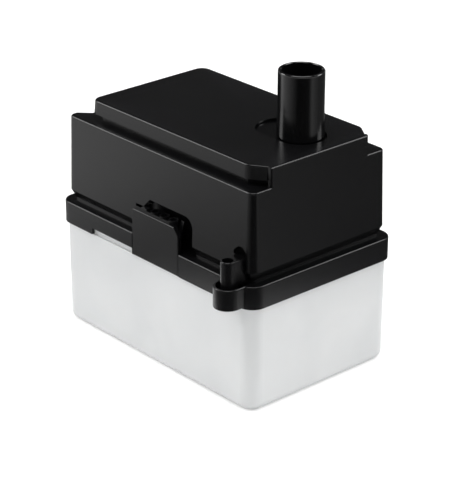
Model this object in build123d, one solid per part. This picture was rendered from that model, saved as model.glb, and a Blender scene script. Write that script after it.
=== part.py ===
from build123d import *
import math
import os

# Tank-type condensate pump, one STEP file for each separate piece.
# Origin: centre of the tank's underside. +Z is up, +X points to the inlet end, and -Y is the long
# side with the front clip. All sizes are in millimetres.

# ---- Tank ----
TANK_L, TANK_W = 150.0, 97.0
TANK_R = 8.0
TANK_FOOT_R = 4.0
TANK_DRAFT = 0.25
TANK_WALL = 2.4
GROOVE_DEPTH = 0.6
TANK_STEP_Z = 56.6
LIP_INSET = 1.1
LIP_TOP_Z = 62.3

# ---- Chassis: skirt, ledge and deck ----
SKIRT_L, SKIRT_W = 152.3, 98.9
SKIRT_R = 8.0
SKIRT_Z = 57.0
LEDGE_Z = 69.1
DECK_LOW, DECK_TOP = LIP_TOP_Z, 64.8
LIP_GAP = 0.3
UPSTAND_L, UPSTAND_W = 135.6, 82.1
UPSTAND_WALL = 1.7
UPSTAND_TOP = 74.0
NOTCH_RISE = 3.5
FRONT_NOTCH = (-48.5, -15.2)
CORNER_NOTCH = (40.0, 41.0)

# ---- Corner ears and the cover's screw columns (front right, and its twin across the pump) ----
EAR_X, EAR_Y, EAR_R = 63.8, -53.8, 7.2
EAR_LOW_Z, EAR_FLOOR_Z = 58.2, 62.0
EAR_POCKET_R = 6.0
COLUMN_R, COLUMN_TOP = 3.6, 82.2
HEAD_BORE_R, HEAD_SEAT_Z = 2.9, 70.0
HEAD_R, HEAD_H = 2.6, 2.2
SCREW_R = 1.6
SCOOP_X, SCOOP_Y, SCOOP_R, SCOOP_TOP = 64.2, -47.6, 5.2, 85.6

# ---- Motor cover ----
COVER_L, COVER_W = 145.8, 92.3
COVER_NECK_IN = 2.7
COVER_NECK_Z, COVER_FULL_Z = 70.2, 74.9
COVER_NECK_R = 2.0
COVER_DRAFT = 1.6
COVER_WALL = 2.2
SHOULDER_Z = 116.5
EDGE_R = 1.0
RECESS_DEPTH_X = -65.9
RECESS_HALF_W = 33.6
RECESS_LOW_Z = 80.0

# ---- Raised lid and the end wall that stops it ----
TOP_Z = 126.8
LID_X0 = -60.6
LID_HALF_W = 38.45
LID_CORNER_R = 5.5
LID_TAPER_X = 60.5
LID_BAND_Z = 119.6
LID_DRAFT = 5.0
LID_WALL = 2.2
LID_NECK_IN = 3.4
LID_PLUG_IN = 5.2
LID_PLUG_Z = 111.5
END_WALL = 2.4
END_HALF_W = 32.8

# ---- Inlet ----
INLET_X, INLET_Y = 48.9, 7.5
SPIGOT_TOP_Z = 161.4
SPIGOT_R = 11.7
SPIGOT_BASE_R = 12.25
SPIGOT_STRAIGHT = 20.0
SPIGOT_BORE_R = 10.0
RIM_STEPS = ((-1.0, 0.0), (-0.62, -0.08), (-0.29, -0.29), (-0.08, -0.62), (0.0, -1.0))
SEAT_R = 13.3
SEAT_ARM = 13.8
SEAT_DEPTH = 2.4
FLANGE_T = 1.2
TAIL_Z = 112.0
CHIMNEY_R, CHIMNEY_BORE_R, CHIMNEY_TOP = 13.6, 11.9, 121.0
CHIMNEY_MOUTH_R, CHIMNEY_MOUTH_Z = 14.5, 112.0
CHIMNEY_FOOT_R = 17.0
SEAL_R = 0.7
SEAL_SEAT_Z = 117.8

# ---- Rocker clips ----
CLIP_X0, CLIP_X1 = -14.8, 21.4
CLIP_TOP = 83.0
CLIP_FACE_Y = -SKIRT_W / 2
CLIP_T = 2.2
CLIP_CUT = (3.2, 3.9)
HOOK_H, HOOK_TOP = 1.8, 63.2
LUG_X, LUG_TOP, LUG_DEPTH = (-9.0, -5.0), 84.8, 3.0
LOOP_X, LOOP_R, LOOP_WALL = (-1.0, 6.0, 13.0), 2.7, 0.9
LOOP_LOW, LOOP_TOP = 74.0, 84.4
LEG_W = 2.2
CLIP_PIVOT_Y, CLIP_PIVOT_Z = -47.4, 66.0
CLIP_BARREL_R = 1.9
TRUNNION_R, TRUNNION_L = 1.2, 2.2
TRUNNION_GAP = 0.05
CLIP_SIDE_GAP = 0.35
CLIP_SLOT_DEPTH_Y = -45.1
POCKET_X0, POCKET_X1 = -15.6, 28.6
POCKET_LOW_TOP, POCKET_STEP_X = 84.6, (-9.6, -4.6)
POCKET_TOP, POCKET_BACK_Y = 89.7, -39.9
POCKET_WALL = 2.0

# ---- Motor ----
MOTOR_X, MOTOR_Y = -4.0, 0.0
STACK_LOW, STACK_HIGH = 85.0, 105.0
STACK_X0, STACK_X1, STACK_HALF_W = -42.0, 20.0, 25.0
ROTOR_R, AIR_GAP = 12.2, 0.4
SHADING_ANGLES, SHADING_SPAN = (20, 200), 38
SHAFT_R = 2.0
SHAFT_LOW, SHAFT_HIGH = 7.6, 122.6
BUSH_R, BUSH_L = 4.0, 6.0
BUSH_GAP = 0.05
BUSH_RISE = 5.2
BRACKET_RISE = 9.0
BRACKET_T = 2.0
BRACKET_W = 13.0
MOTOR_SCREW_Y = 20.0
MOTOR_SCREW_R = 1.8
COIL_X0, COIL_X1, COIL_HALF_L = -42.0, -30.0, 12.0
BOBBIN_T = 1.2
WINDING_T = 7.5
FAN_LOW, FAN_HIGH, FAN_R = 117.6, 122.4, 21.0
FAN_BLADES = 7

# ---- Pump ----
VOLUTE_LOW, VOLUTE_HIGH, VOLUTE_R = 6.0, 18.0, 19.5
VOLUTE_OFFSET = 1.6
CHAMBER_R, CHAMBER_LOW, CHAMBER_HIGH = 16.6, 7.4, 15.6
IMPELLER_R = 13.8
IMPELLER_VANES = 6
STRAINER_LOW = 3.0
EYE_R = 5.5
PUMP_COLUMN_R, PUMP_COLUMN_BORE = 9.0, 7.0
RISER_X, RISER_Y = -52.0, 24.0
RISER_R, RISER_BORE = 5.6, 3.8
OUTLET_Z = 11.5
TANGENT_R = 11.0

# ---- Check valve and discharge ----
VALVE_R, VALVE_LOW, VALVE_SEAT_Z, VALVE_HIGH = 9.0, DECK_TOP, 72.0, 88.0
VALVE_CHAMBER_R = 6.2
BALL_R, BALL_SEAT_R, BALL_LIFT = 4.6, 3.8, 3.5
DISCHARGE_Z = 98.0
DISCHARGE_R, DISCHARGE_BORE = 5.0, 3.4
DISCHARGE_END_X = -84.0

# ---- Float ----
FLOAT_X, FLOAT_Y = 48.0, -20.0
FLOAT_R, FLOAT_LOW, FLOAT_HIGH = 11.5, 16.0, 34.0
STEM_R, STEM_LOW = 3.0, 9.0
FLOAT_BORE = 3.4
MAGNET_R, MAGNET_H = 6.5, 5.0

# ---- Electrics ----
BOARD_X0, BOARD_X1, BOARD_Y0, BOARD_Y1 = 33.5, 65.5, -37.0, -9.5
BOARD_Z, BOARD_T = 78.0, 1.6
GLAND_Y, GLAND_Z = -18.0, 92.0
GLAND_R, GLAND_BORE = 6.0, 3.6
GLAND_END_X = -82.0


def block(length, width, low, high, radius, draft=0.0, at=(0.0, 0.0)):
    """An upright rounded block; its plan size is that of its lower end, and draft leans it in."""
    plan = Pos(at[0], at[1], low) * RectangleRounded(length, width, radius)
    return extrude(plan, amount=high - low, taper=draft)


def box(x0, x1, y0, y1, z0, z1):
    """A plain box between two corners."""
    middle = Pos((x0 + x1) / 2, (y0 + y1) / 2, (z0 + z1) / 2)
    return middle * Box(x1 - x0, y1 - y0, z1 - z0)


def rod(x, y, low, high, radius):
    """An upright cylinder."""
    return Pos(x, y, (low + high) / 2) * Cylinder(radius, high - low)


def cone(x, y, low, high, low_radius, high_radius):
    """An upright cone frustum."""
    form = Cone(low_radius, high_radius, high - low)
    return Pos(x, y, (low + high) / 2) * form


def rod_x(y, z, x0, x1, radius):
    """A cylinder along X."""
    return Pos((x0 + x1) / 2, y, z) * Rot(0, 90, 0) * Cylinder(radius, x1 - x0)


def tongue(x, tip_y, root_y, radius, low, high):
    """An upright tongue along Y: a round tip centred at tip_y and a square root at root_y."""
    return box(x - radius, x + radius, tip_y, root_y, low, high) + rod(x, tip_y, low, high, radius)


def slab(outline, front, back):
    """A plate standing across Y, from a sketch drawn in X and Z."""
    return Pos(0, back, 0) * extrude(Plane.XZ * outline, amount=back - front)


def twin(part):
    """The piece and its copy turned half a turn about the pump's upright axis."""
    return part + Rot(0, 0, 180) * part


def on_motor_axis(part):
    """Moves a piece built on the origin's axis to the motor's axis."""
    return Pos(MOTOR_X, MOTOR_Y, 0) * part


# ---------------------------------------------------------------- housing


def tank():
    """Thin-walled reservoir: stepped lip, low rim underneath, and the catches for the two clips."""
    lean = TANK_STEP_Z * math.tan(math.radians(TANK_DRAFT))
    body = block(TANK_L - 2 * lean, TANK_W - 2 * lean, 0, TANK_STEP_Z, TANK_R, -TANK_DRAFT)
    body = fillet(body.edges().group_by(Axis.Z)[0], TANK_FOOT_R)
    lip_l, lip_w = TANK_L - 2 * LIP_INSET, TANK_W - 2 * LIP_INSET
    body += block(lip_l, lip_w, TANK_STEP_Z, LIP_TOP_Z, TANK_R - LIP_INSET)
    inner_l, inner_w = TANK_L - 2 * (TANK_WALL + lean), TANK_W - 2 * (TANK_WALL + lean)
    water = block(inner_l, inner_w, TANK_WALL, LIP_TOP_Z, TANK_R - TANK_WALL)
    water = fillet(water.edges().group_by(Axis.Z)[0], TANK_FOOT_R - 1.5)
    body -= water
    rim_in = 2 * (TANK_FOOT_R + 3.0)
    groove = block(TANK_L - rim_in, TANK_W - rim_in, 0, GROOVE_DEPTH, TANK_R - 2.0)
    body -= groove - block(TANK_L - 2 * rim_in, TANK_W - 2 * rim_in, 0, GROOVE_DEPTH, TANK_R - 4.0)
    catch_x = (CLIP_X0 + CLIP_X1) / 2
    lip_y = -lip_w / 2
    wedge = Polygon((lip_y - 0.75, 59.2), (lip_y + 0.2, 59.2), (lip_y + 0.2, 61.6), align=None)
    catch = Pos(catch_x - 9, 0, 0) * extrude(Plane.YZ * wedge, amount=18)
    return body + twin(catch)


def clip_slot():
    """Room for one clip in the skirt and the ledge, with the bores for its trunnions."""
    x0, x1 = CLIP_X0 - CLIP_SIDE_GAP, CLIP_X1 + CLIP_SIDE_GAP
    room = box(x0, x1, CLIP_FACE_Y - 1, CLIP_SLOT_DEPTH_Y, DECK_LOW, LEDGE_Z + 1)
    room += box(x0, x1, CLIP_FACE_Y - 1, -TANK_W / 2 + 2, SKIRT_Z - 1, DECK_LOW)
    reach = TRUNNION_L + 0.2
    bore = rod_x(CLIP_PIVOT_Y, CLIP_PIVOT_Z, x0 - reach, x1 + reach, TRUNNION_R + TRUNNION_GAP)
    return room + bore


def chassis():
    """Frame between tank and cover: skirt, ledge, deck, upstand, ears and posts."""
    body = block(SKIRT_L, SKIRT_W, SKIRT_Z, LEDGE_Z, SKIRT_R)
    body += twin(tongue(EAR_X, EAR_Y, -SKIRT_W / 2 + 2.5, EAR_R, EAR_LOW_Z, LEDGE_Z))
    body = fillet(body.edges().group_by(Axis.Z)[-1], 0.8)
    lip_l, lip_w = TANK_L - 2 * LIP_INSET, TANK_W - 2 * LIP_INSET
    under_r = TANK_R - LIP_INSET + LIP_GAP
    body -= block(lip_l + 2 * LIP_GAP, lip_w + 2 * LIP_GAP, SKIRT_Z, DECK_LOW, under_r)
    inside_l, inside_w = UPSTAND_L - 2 * UPSTAND_WALL, UPSTAND_W - 2 * UPSTAND_WALL
    body -= block(inside_l, inside_w, DECK_TOP, LEDGE_Z, 2.5)
    upstand = block(UPSTAND_L, UPSTAND_W, LEDGE_Z, UPSTAND_TOP, 4.0)
    upstand -= block(inside_l, inside_w, LEDGE_Z, UPSTAND_TOP, 2.5)
    gap_x0, gap_x1 = POCKET_X0 - POCKET_WALL - 1, POCKET_X1 + POCKET_WALL + 1
    upstand -= twin(box(gap_x0, gap_x1, -UPSTAND_W, -inside_w / 2 + 3, LEDGE_Z, UPSTAND_TOP))
    body += upstand
    groove = block(144.0, 90.9, DECK_LOW, 66.8, 5.0) - block(139.0, 85.9, DECK_LOW, 66.8, 4.0)
    body -= groove
    body -= twin(tongue(EAR_X, EAR_Y, -49.6, EAR_POCKET_R, EAR_FLOOR_Z, DECK_TOP))
    body -= twin(tongue(EAR_X, EAR_Y, -45.2, EAR_POCKET_R, DECK_TOP, LEDGE_Z + 1))
    body -= twin(rod(EAR_X, EAR_Y, EAR_LOW_Z + 0.6, EAR_FLOOR_Z, SCREW_R - 0.1))
    body -= twin(clip_slot())
    notch_x0, notch_x1 = FRONT_NOTCH
    body -= box(notch_x0, notch_x1, -52, -46, SKIRT_Z - 1, SKIRT_Z + NOTCH_RISE)
    corner_x, corner_y = CORNER_NOTCH
    corner = Polygon((corner_y - 2, 56), (corner_y + 2.5, 61.3), (55, 61.3), (55, 56), align=None)
    body -= Pos(corner_x, 0, 0) * extrude(Plane.YZ * corner, amount=45)
    body += chassis_deck_details()
    return body - deck_openings()


def chassis_deck_details():
    """Motor posts, board pillars, the float's socket, and the collar that centres the chimney."""
    details = rod(INLET_X, INLET_Y, DECK_TOP, DECK_TOP + 2.0, CHIMNEY_FOOT_R + 2.0)
    details -= rod(INLET_X, INLET_Y, DECK_TOP, DECK_TOP + 2.0, CHIMNEY_FOOT_R)
    post = cone(MOTOR_X, MOTOR_SCREW_Y, DECK_TOP, STACK_LOW - BRACKET_T, 4.6, 3.2)
    post += box(MOTOR_X - 0.9, MOTOR_X + 0.9, 15, 34, DECK_TOP - 0.5, 72)
    details += post + mirror(post, about=Plane.XZ)
    for x, y in ((BOARD_X0 + 3, BOARD_Y0 + 3), (BOARD_X1 - 3, BOARD_Y0 + 3), (BOARD_X0 + 3, BOARD_Y1 - 3)):
        details += rod(x, y, DECK_TOP, BOARD_Z, 2.4)
    details += rod(FLOAT_X, FLOAT_Y, DECK_TOP, DECK_TOP + 3, 6.0)
    return details


def deck_openings():
    """Holes through the deck: inlet, shaft, riser, float stem and motor screws."""
    holes = rod(INLET_X, INLET_Y, DECK_LOW, DECK_TOP, CHIMNEY_BORE_R)
    holes += rod(MOTOR_X, MOTOR_Y, DECK_LOW, DECK_TOP, 4.5)
    holes += rod(RISER_X, RISER_Y, DECK_LOW, DECK_TOP, RISER_R)
    holes += rod(FLOAT_X, FLOAT_Y, DECK_LOW, DECK_TOP + 3, STEM_R)
    for side in (-1, 1):
        holes += rod(MOTOR_X, side * MOTOR_SCREW_Y, 68.0, STACK_LOW, MOTOR_SCREW_R)
    return holes


def drain_chimney():
    """Upright tube that leads drain water from the adaptor's tail down through the deck."""
    tube = rod(INLET_X, INLET_Y, DECK_TOP, CHIMNEY_TOP, CHIMNEY_R)
    tube += rod(INLET_X, INLET_Y, DECK_TOP, DECK_TOP + 1.8, CHIMNEY_FOOT_R)
    tube += cone(INLET_X, INLET_Y, CHIMNEY_MOUTH_Z - 3.0, CHIMNEY_MOUTH_Z, CHIMNEY_R, CHIMNEY_MOUTH_R)
    tube += rod(INLET_X, INLET_Y, CHIMNEY_MOUTH_Z, CHIMNEY_TOP, CHIMNEY_MOUTH_R)
    tube -= rod(INLET_X, INLET_Y, DECK_TOP, CHIMNEY_TOP, CHIMNEY_BORE_R)
    return tube - rod(INLET_X, INLET_Y, SEAL_SEAT_Z, CHIMNEY_TOP, SPIGOT_R + 2 * SEAL_R)


def cover_form(inset, top):
    """The cover's outer form, or its inside when inset: a necked foot, then leaning walls."""
    neck_r = max(COVER_NECK_R - inset, 0.5)
    neck_l, neck_w = COVER_L - 2 * (COVER_NECK_IN + inset), COVER_W - 2 * (COVER_NECK_IN + inset)
    flare = math.degrees(math.atan(COVER_NECK_IN / (COVER_FULL_Z - COVER_NECK_Z)))
    form = block(neck_l, neck_w, LEDGE_Z, COVER_NECK_Z, neck_r)
    form += block(neck_l, neck_w, COVER_NECK_Z, COVER_FULL_Z, neck_r, -flare)
    full_r = neck_r + COVER_NECK_IN
    form += block(COVER_L - 2 * inset, COVER_W - 2 * inset, COVER_FULL_Z, top, full_r, COVER_DRAFT)
    return form


def end_recess(offset, low):
    """The shallow bay in the rear end face, with its slanting sides; offset thickens its wall."""
    x_in, half = RECESS_DEPTH_X + offset, RECESS_HALF_W + offset * 0.4
    out = 16.0
    plan = Polygon((x_in, -half), (x_in, half), (x_in - out, half + out), (x_in - out, -half - out),
                   align=None)
    return Pos(0, 0, low) * extrude(plan, amount=TOP_Z - low)


def clip_pocket(offset):
    """The hollow behind a clip, lower at its left, round at its right; offset gives its outside."""
    x0, x1, top, low_top = POCKET_X0 - offset, POCKET_X1 + offset, POCKET_TOP + offset, POCKET_LOW_TOP + offset
    step_x0, step_x1 = POCKET_STEP_X
    face = Polygon((x0, LEDGE_Z), (x1, LEDGE_Z), (x1, top), (step_x1 - offset / 2, top),
                   (step_x0 - offset / 2, low_top), (x0, low_top), align=None)
    corner = face.vertices().group_by(Axis.Y)[-1].sort_by(Axis.X)[-1]
    face = fillet(corner, 6.0)
    return slab(face, -60, POCKET_BACK_Y + offset)


def screw_column():
    """Half-round column that carries a cover screw down into the ear's pocket."""
    column = tongue(EAR_X, EAR_Y, -COVER_W / 2 + 3.5, COLUMN_R, LEDGE_Z, COLUMN_TOP)
    column = fillet(column.edges().group_by(Axis.Z)[-1], 0.7)
    return column + tongue(EAR_X, EAR_Y, -50.0, COLUMN_R, EAR_FLOOR_Z, LEDGE_Z)


def motor_cover():
    """Moulded cover: leaning walls, shoulder, end wall, clip pockets, columns and rear bay."""
    body = cover_form(0.0, SHOULDER_Z)
    tall = block(COVER_L, COVER_W, COVER_FULL_Z, TOP_Z, COVER_NECK_R + COVER_NECK_IN, COVER_DRAFT)
    end_x = COVER_L / 2 - math.tan(math.radians(COVER_DRAFT)) * (TOP_Z - COVER_FULL_Z) - END_WALL
    end = tall & box(end_x, COVER_L, -END_HALF_W, END_HALF_W, SHOULDER_Z - 2, TOP_Z)
    outline = end.faces().sort_by(Axis.X)[-1].edges()
    end = fillet([edge for edge in outline if edge.center().Z > SHOULDER_Z], EDGE_R)
    body -= end_recess(0.0, RECESS_LOW_Z)
    body = fillet(body.faces().sort_by(Axis.Z)[-1].edges(), EDGE_R)
    body += end
    body -= twin(clip_pocket(0.0))
    hollow = cover_form(COVER_WALL, SHOULDER_Z - COVER_WALL)
    hollow -= end_recess(COVER_WALL, RECESS_LOW_Z - COVER_WALL)
    hollow -= twin(clip_pocket(POCKET_WALL))
    hollow -= twin(rod(SCOOP_X, SCOOP_Y, COLUMN_TOP - 3, SCOOP_TOP + 5, SCOOP_R + 2))
    body -= hollow
    body += twin(screw_column())
    scoop = rod(SCOOP_X, SCOOP_Y, COLUMN_TOP, SCOOP_TOP - 1.5, SCOOP_R)
    scoop += Pos(SCOOP_X, SCOOP_Y, SCOOP_TOP - 1.5) * Cone(
        SCOOP_R, SCOOP_R - 3, 3, align=(Align.CENTER, Align.CENTER, Align.MIN))
    body -= twin(scoop)
    body -= twin(rod(EAR_X, EAR_Y, HEAD_SEAT_Z, COLUMN_TOP, HEAD_BORE_R))
    body -= twin(rod(EAR_X, EAR_Y, EAR_FLOOR_Z, HEAD_SEAT_Z, SCREW_R + 0.15))
    body -= lid_plan(LID_PLUG_IN - 0.15, SHOULDER_Z - 6, SHOULDER_Z)
    body -= rear_openings()
    return body


def rear_openings():
    """Holes in the rear bay: gland, discharge pipe and the motor's vent slots."""
    x0, x1 = RECESS_DEPTH_X - 3, RECESS_DEPTH_X + 6
    holes = rod_x(GLAND_Y, GLAND_Z, x0, x1, GLAND_R)
    holes += rod_x(RISER_Y, DISCHARGE_Z, x0, x1, DISCHARGE_R + 0.3)
    for row in range(5):
        z = 86.0 + row * 5.0
        holes += box(x0, x1, -4.0, 13.0, z, z + 2.2)
    return holes


def lid_plan(inset, low, high, draft=0.0, overrun=0.0):
    """The lid's outline, inset, as an upright block: round tail, corners that taper to the end wall."""
    x0, x1 = LID_X0 + inset, lid_end_x() - max(inset - 2.0, 0.0) + overrun
    slope = (LID_HALF_W - END_HALF_W) / (lid_end_x() - LID_TAPER_X)
    half, end_half = LID_HALF_W - inset, END_HALF_W - inset - slope * overrun
    taper_x = LID_TAPER_X - inset * 0.4
    plan = Polygon((x0, -half), (taper_x, -half), (x1, -end_half), (x1, end_half), (taper_x, half),
                   (x0, half), align=None)
    corners = plan.vertices().group_by(Axis.X)
    plan = fillet(corners[0], max(LID_CORNER_R - inset, 1.0))
    bends = plan.vertices().group_by(Axis.X)[-2]
    plan = fillet(bends, 6.0)
    return Pos(0, 0, low) * extrude(plan, amount=high - low, taper=draft)


def lid_end_x():
    """Where the lid stops, just behind the cover's end wall."""
    lean = math.tan(math.radians(COVER_DRAFT)) * (TOP_Z - COVER_FULL_Z)
    return COVER_L / 2 - lean - END_WALL - 0.1


def inlet_plan(radius):
    """Oblong plan of the inlet's seat: round at the spigot and at the end of its arm."""
    arm = Pos(INLET_X - SEAT_ARM / 2, INLET_Y) * SlotCenterToCenter(SEAT_ARM, 2 * radius)
    return arm


def top_lid():
    """Raised lid: a drafted band, an undercut neck that rests on the shoulder, and a locating plug."""
    lean = math.tan(math.radians(LID_DRAFT)) * (TOP_Z - LID_BAND_Z)
    band = lid_plan(-lean, LID_BAND_Z, TOP_Z, LID_DRAFT, 3.0)
    band = fillet([e for e in band.faces().sort_by(Axis.Z)[-1].edges() if e.center().X < 69], EDGE_R)
    band &= box(LID_X0 - 5, lid_end_x(), -50, 50, LID_BAND_Z, TOP_Z)
    lid = band + lid_plan(LID_NECK_IN, SHOULDER_Z, LID_BAND_Z)
    lid += lid_plan(LID_PLUG_IN, LID_PLUG_Z, SHOULDER_Z)
    lid -= lid_plan(LID_PLUG_IN + 1.8, LID_PLUG_Z, TOP_Z - LID_WALL)
    seat = Pos(0, 0, TOP_Z - SEAT_DEPTH) * extrude(inlet_plan(SEAT_R), amount=SEAT_DEPTH)
    back_z = TOP_Z - SEAT_DEPTH - LID_WALL
    lid += Pos(0, 0, back_z) * extrude(inlet_plan(SEAT_R + 1.6), amount=LID_WALL + SEAT_DEPTH - EDGE_R)
    lid -= seat
    return lid - rod(INLET_X, INLET_Y, CHIMNEY_TOP, TOP_Z, SPIGOT_R + 0.15)


def inlet_adaptor():
    """Spigot for the drain hose, with its oblong foot and the tail that plugs into the chimney."""
    foot_z = TOP_Z - SEAT_DEPTH
    knee_z = SPIGOT_TOP_Z - SPIGOT_STRAIGHT
    rim = [(SPIGOT_R + inward, SPIGOT_TOP_Z + down) for inward, down in RIM_STEPS]
    outline = Polyline((SPIGOT_BORE_R, TAIL_Z), (SPIGOT_R - 0.4, TAIL_Z), (SPIGOT_R, TAIL_Z + 1.2),
                       (SPIGOT_R, foot_z), (SPIGOT_BASE_R, foot_z), (SPIGOT_R, knee_z), *reversed(rim),
                       (SPIGOT_BORE_R + 0.3, SPIGOT_TOP_Z), (SPIGOT_BORE_R, SPIGOT_TOP_Z - 0.3), close=True)
    tube = revolve(Plane.XZ * make_face(outline), Axis.Z)
    foot = Pos(0, 0, foot_z) * extrude(inlet_plan(SEAT_R - 0.5), amount=FLANGE_T)
    foot = chamfer(foot.edges().group_by(Axis.Z)[-1], 0.4)
    foot -= rod(INLET_X, INLET_Y, foot_z, foot_z + FLANGE_T, SPIGOT_R - 0.6)
    return Pos(INLET_X, INLET_Y, 0) * tube + foot


def inlet_seal():
    """Ring seal of eight-sided section between the adaptor's tail and the chimney."""
    section = Pos(SPIGOT_R + SEAL_R, 0) * RegularPolygon(SEAL_R, 8)
    ring = revolve(Plane.XZ * section, Axis.Z)
    return Pos(INLET_X, INLET_Y, SEAL_SEAT_Z + SEAL_R) * ring


def cover_screws():
    """The two long-reach screws down the cover's columns."""
    screw = rod(EAR_X, EAR_Y, EAR_LOW_Z + 1.0, HEAD_SEAT_Z, SCREW_R - 0.1)
    head = rod(EAR_X, EAR_Y, HEAD_SEAT_Z, HEAD_SEAT_Z + HEAD_H, HEAD_R)
    head = chamfer(head.edges().group_by(Axis.Z)[-1], 0.6)
    head -= box(EAR_X - 0.4, EAR_X + 0.4, EAR_Y - 1.7, EAR_Y + 1.7, HEAD_SEAT_Z + 1.1, 80)
    head -= box(EAR_X - 1.7, EAR_X + 1.7, EAR_Y - 0.4, EAR_Y + 0.4, HEAD_SEAT_Z + 1.1, 80)
    return twin(screw + head)


# ---------------------------------------------------------------- rocker clips


def front_clip():
    """Rocker clip: thumb plate, trunnions, lug, two spring loops, a leaning leg and a hook below."""
    face = Polygon((CLIP_X0, SKIRT_Z), (CLIP_X1, SKIRT_Z), (CLIP_X1, CLIP_TOP - CLIP_CUT[1]),
                   (CLIP_X1 - CLIP_CUT[0], CLIP_TOP), (CLIP_X0, CLIP_TOP), align=None)
    face = fillet(face.vertices().group_by(Axis.Y)[-1].sort_by(Axis.X)[0], 1.2)
    plate = slab(face, CLIP_FACE_Y, CLIP_FACE_Y + CLIP_T)
    plate = fillet(plate.faces().sort_by(Axis.Y)[0].edges(), 0.5)
    back = CLIP_FACE_Y + CLIP_T
    plate -= box(CLIP_X0, CLIP_X1, CLIP_FACE_Y + 1.1, back, SKIRT_Z + HOOK_H, HOOK_TOP)
    plate -= box(CLIP_X0, CLIP_X1, CLIP_FACE_Y + 1.75, back, SKIRT_Z, SKIRT_Z + HOOK_H)
    barrel = rod_x(CLIP_PIVOT_Y, CLIP_PIVOT_Z, CLIP_X0, CLIP_X1, CLIP_BARREL_R)
    pins = rod_x(CLIP_PIVOT_Y, CLIP_PIVOT_Z, CLIP_X0 - TRUNNION_L, CLIP_X1 + TRUNNION_L, TRUNNION_R)
    clip = plate + barrel + pins
    lug_x0, lug_x1 = LUG_X
    clip += box(lug_x0, lug_x1, back - 0.5, back + LUG_DEPTH, CLIP_TOP - 6.0, LUG_TOP)
    clip += box(CLIP_X0 + 1.0, LOOP_X[-1], back - 0.5, back + 0.6, CLIP_TOP - 9.0, CLIP_TOP + 0.8)
    for x in LOOP_X:
        loop = rod(x, back + LOOP_R - 0.4, LOOP_LOW, LOOP_TOP, LOOP_R)
        clip += loop - rod(x, back + LOOP_R - 0.4, LOOP_LOW, LOOP_TOP, LOOP_R - LOOP_WALL)
    leg = Polygon((back - 0.5, 72.0), (back + 4.4, 84.4), (back + 5.2, 84.0), (back - 0.5, 69.9), align=None)
    return clip + Pos(CLIP_X1 - 2.6, 0, 0) * extrude(Plane.YZ * leg, amount=LEG_W)


def rear_clip():
    """The same clip on the far side, turned half a turn."""
    return Rot(0, 0, 180) * front_clip()


# ---------------------------------------------------------------- motor


def stator_stack():
    """C-frame laminations of a shaded-pole motor: yoke, limbs, coil bar, bore and shading slots."""
    low, high = STACK_LOW, STACK_HIGH
    yoke = block(STACK_X1 - STACK_X0, 2 * STACK_HALF_W, low, high, 3.0,
                 at=((STACK_X0 + STACK_X1) / 2, 0))
    window = block(12.6, 28.4, low, high, 2.0, at=(COIL_X1 + 6.3, 0))
    stack = yoke - window - rod(MOTOR_X, MOTOR_Y, low, high, ROTOR_R + AIR_GAP)
    for angle in SHADING_ANGLES:
        notch = Rot(0, 0, angle) * box(ROTOR_R, ROTOR_R + 4.6, -1.0, 1.0, low, high)
        stack -= on_motor_axis(notch)
        far = Rot(0, 0, angle + SHADING_SPAN) * box(ROTOR_R, ROTOR_R + 4.6, -1.0, 1.0, low, high)
        stack -= on_motor_axis(far)
    for side in (-1, 1):
        gap = Rot(0, 0, 90 - 90 * side) * box(ROTOR_R - 1, ROTOR_R + 3.2, -1.2, 1.2, low, high)
        stack -= on_motor_axis(gap)
        stack -= rod(MOTOR_X, side * MOTOR_SCREW_Y, low, high, MOTOR_SCREW_R + 0.2)
    return stack


def shading_rings():
    """Copper loops round the corner of each pole."""
    bar = 1.7
    rings = None
    for angle in SHADING_ANGLES:
        radius = ROTOR_R + 3.4
        legs = Rot(0, 0, angle) * box(radius - bar / 2, radius + bar / 2, -bar / 2, bar / 2,
                                      STACK_LOW - bar, STACK_HIGH + bar)
        legs += Rot(0, 0, angle + SHADING_SPAN) * box(
            radius - bar / 2, radius + bar / 2, -bar / 2, bar / 2, STACK_LOW - bar, STACK_HIGH + bar)
        for low in (STACK_LOW - bar, STACK_HIGH):
            tie = rod(0, 0, low, low + bar, radius + bar / 2) - rod(0, 0, low, low + bar, radius - bar / 2)
            span = math.radians(SHADING_SPAN)
            wedge = Polygon((0, 0), (30, 0), (30 * math.cos(span), 30 * math.sin(span)), align=None)
            keep = Rot(0, 0, angle) * Pos(0, 0, low) * extrude(wedge, amount=bar)
            legs += tie & keep
        rings = legs if rings is None else rings + legs
    return on_motor_axis(rings)


def coil_bobbin():
    """Moulded bobbin on the stator's coil bar, with a cheek at each end."""
    x0, x1 = COIL_X0 - BOBBIN_T, COIL_X1 + BOBBIN_T
    z0, z1 = STACK_LOW - BOBBIN_T, STACK_HIGH + BOBBIN_T
    core = box(x0, x1, -COIL_HALF_L, COIL_HALF_L, z0, z1)
    cheek = WINDING_T + 1.0
    for side in (-1, 1):
        y0, y1 = sorted((side * COIL_HALF_L, side * (COIL_HALF_L - BOBBIN_T)))
        core += box(x0 - cheek, x1 + 9.6, y0, y1, z0 - cheek, z1 + cheek)
    return core - box(COIL_X0, COIL_X1, -30, 30, STACK_LOW, STACK_HIGH)


def coil_winding():
    """Taped copper winding between the bobbin's cheeks."""
    x0, x1 = COIL_X0 - BOBBIN_T, COIL_X1 + BOBBIN_T
    z0, z1 = STACK_LOW - BOBBIN_T, STACK_HIGH + BOBBIN_T
    half = COIL_HALF_L - BOBBIN_T
    body = box(x0 - WINDING_T, x1 + WINDING_T, -half, half, z0 - WINDING_T, z1 + WINDING_T)
    body = fillet(body.edges().filter_by(Axis.Y), 6.0)
    return body - box(x0, x1, -half, half, z0, z1)


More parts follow.
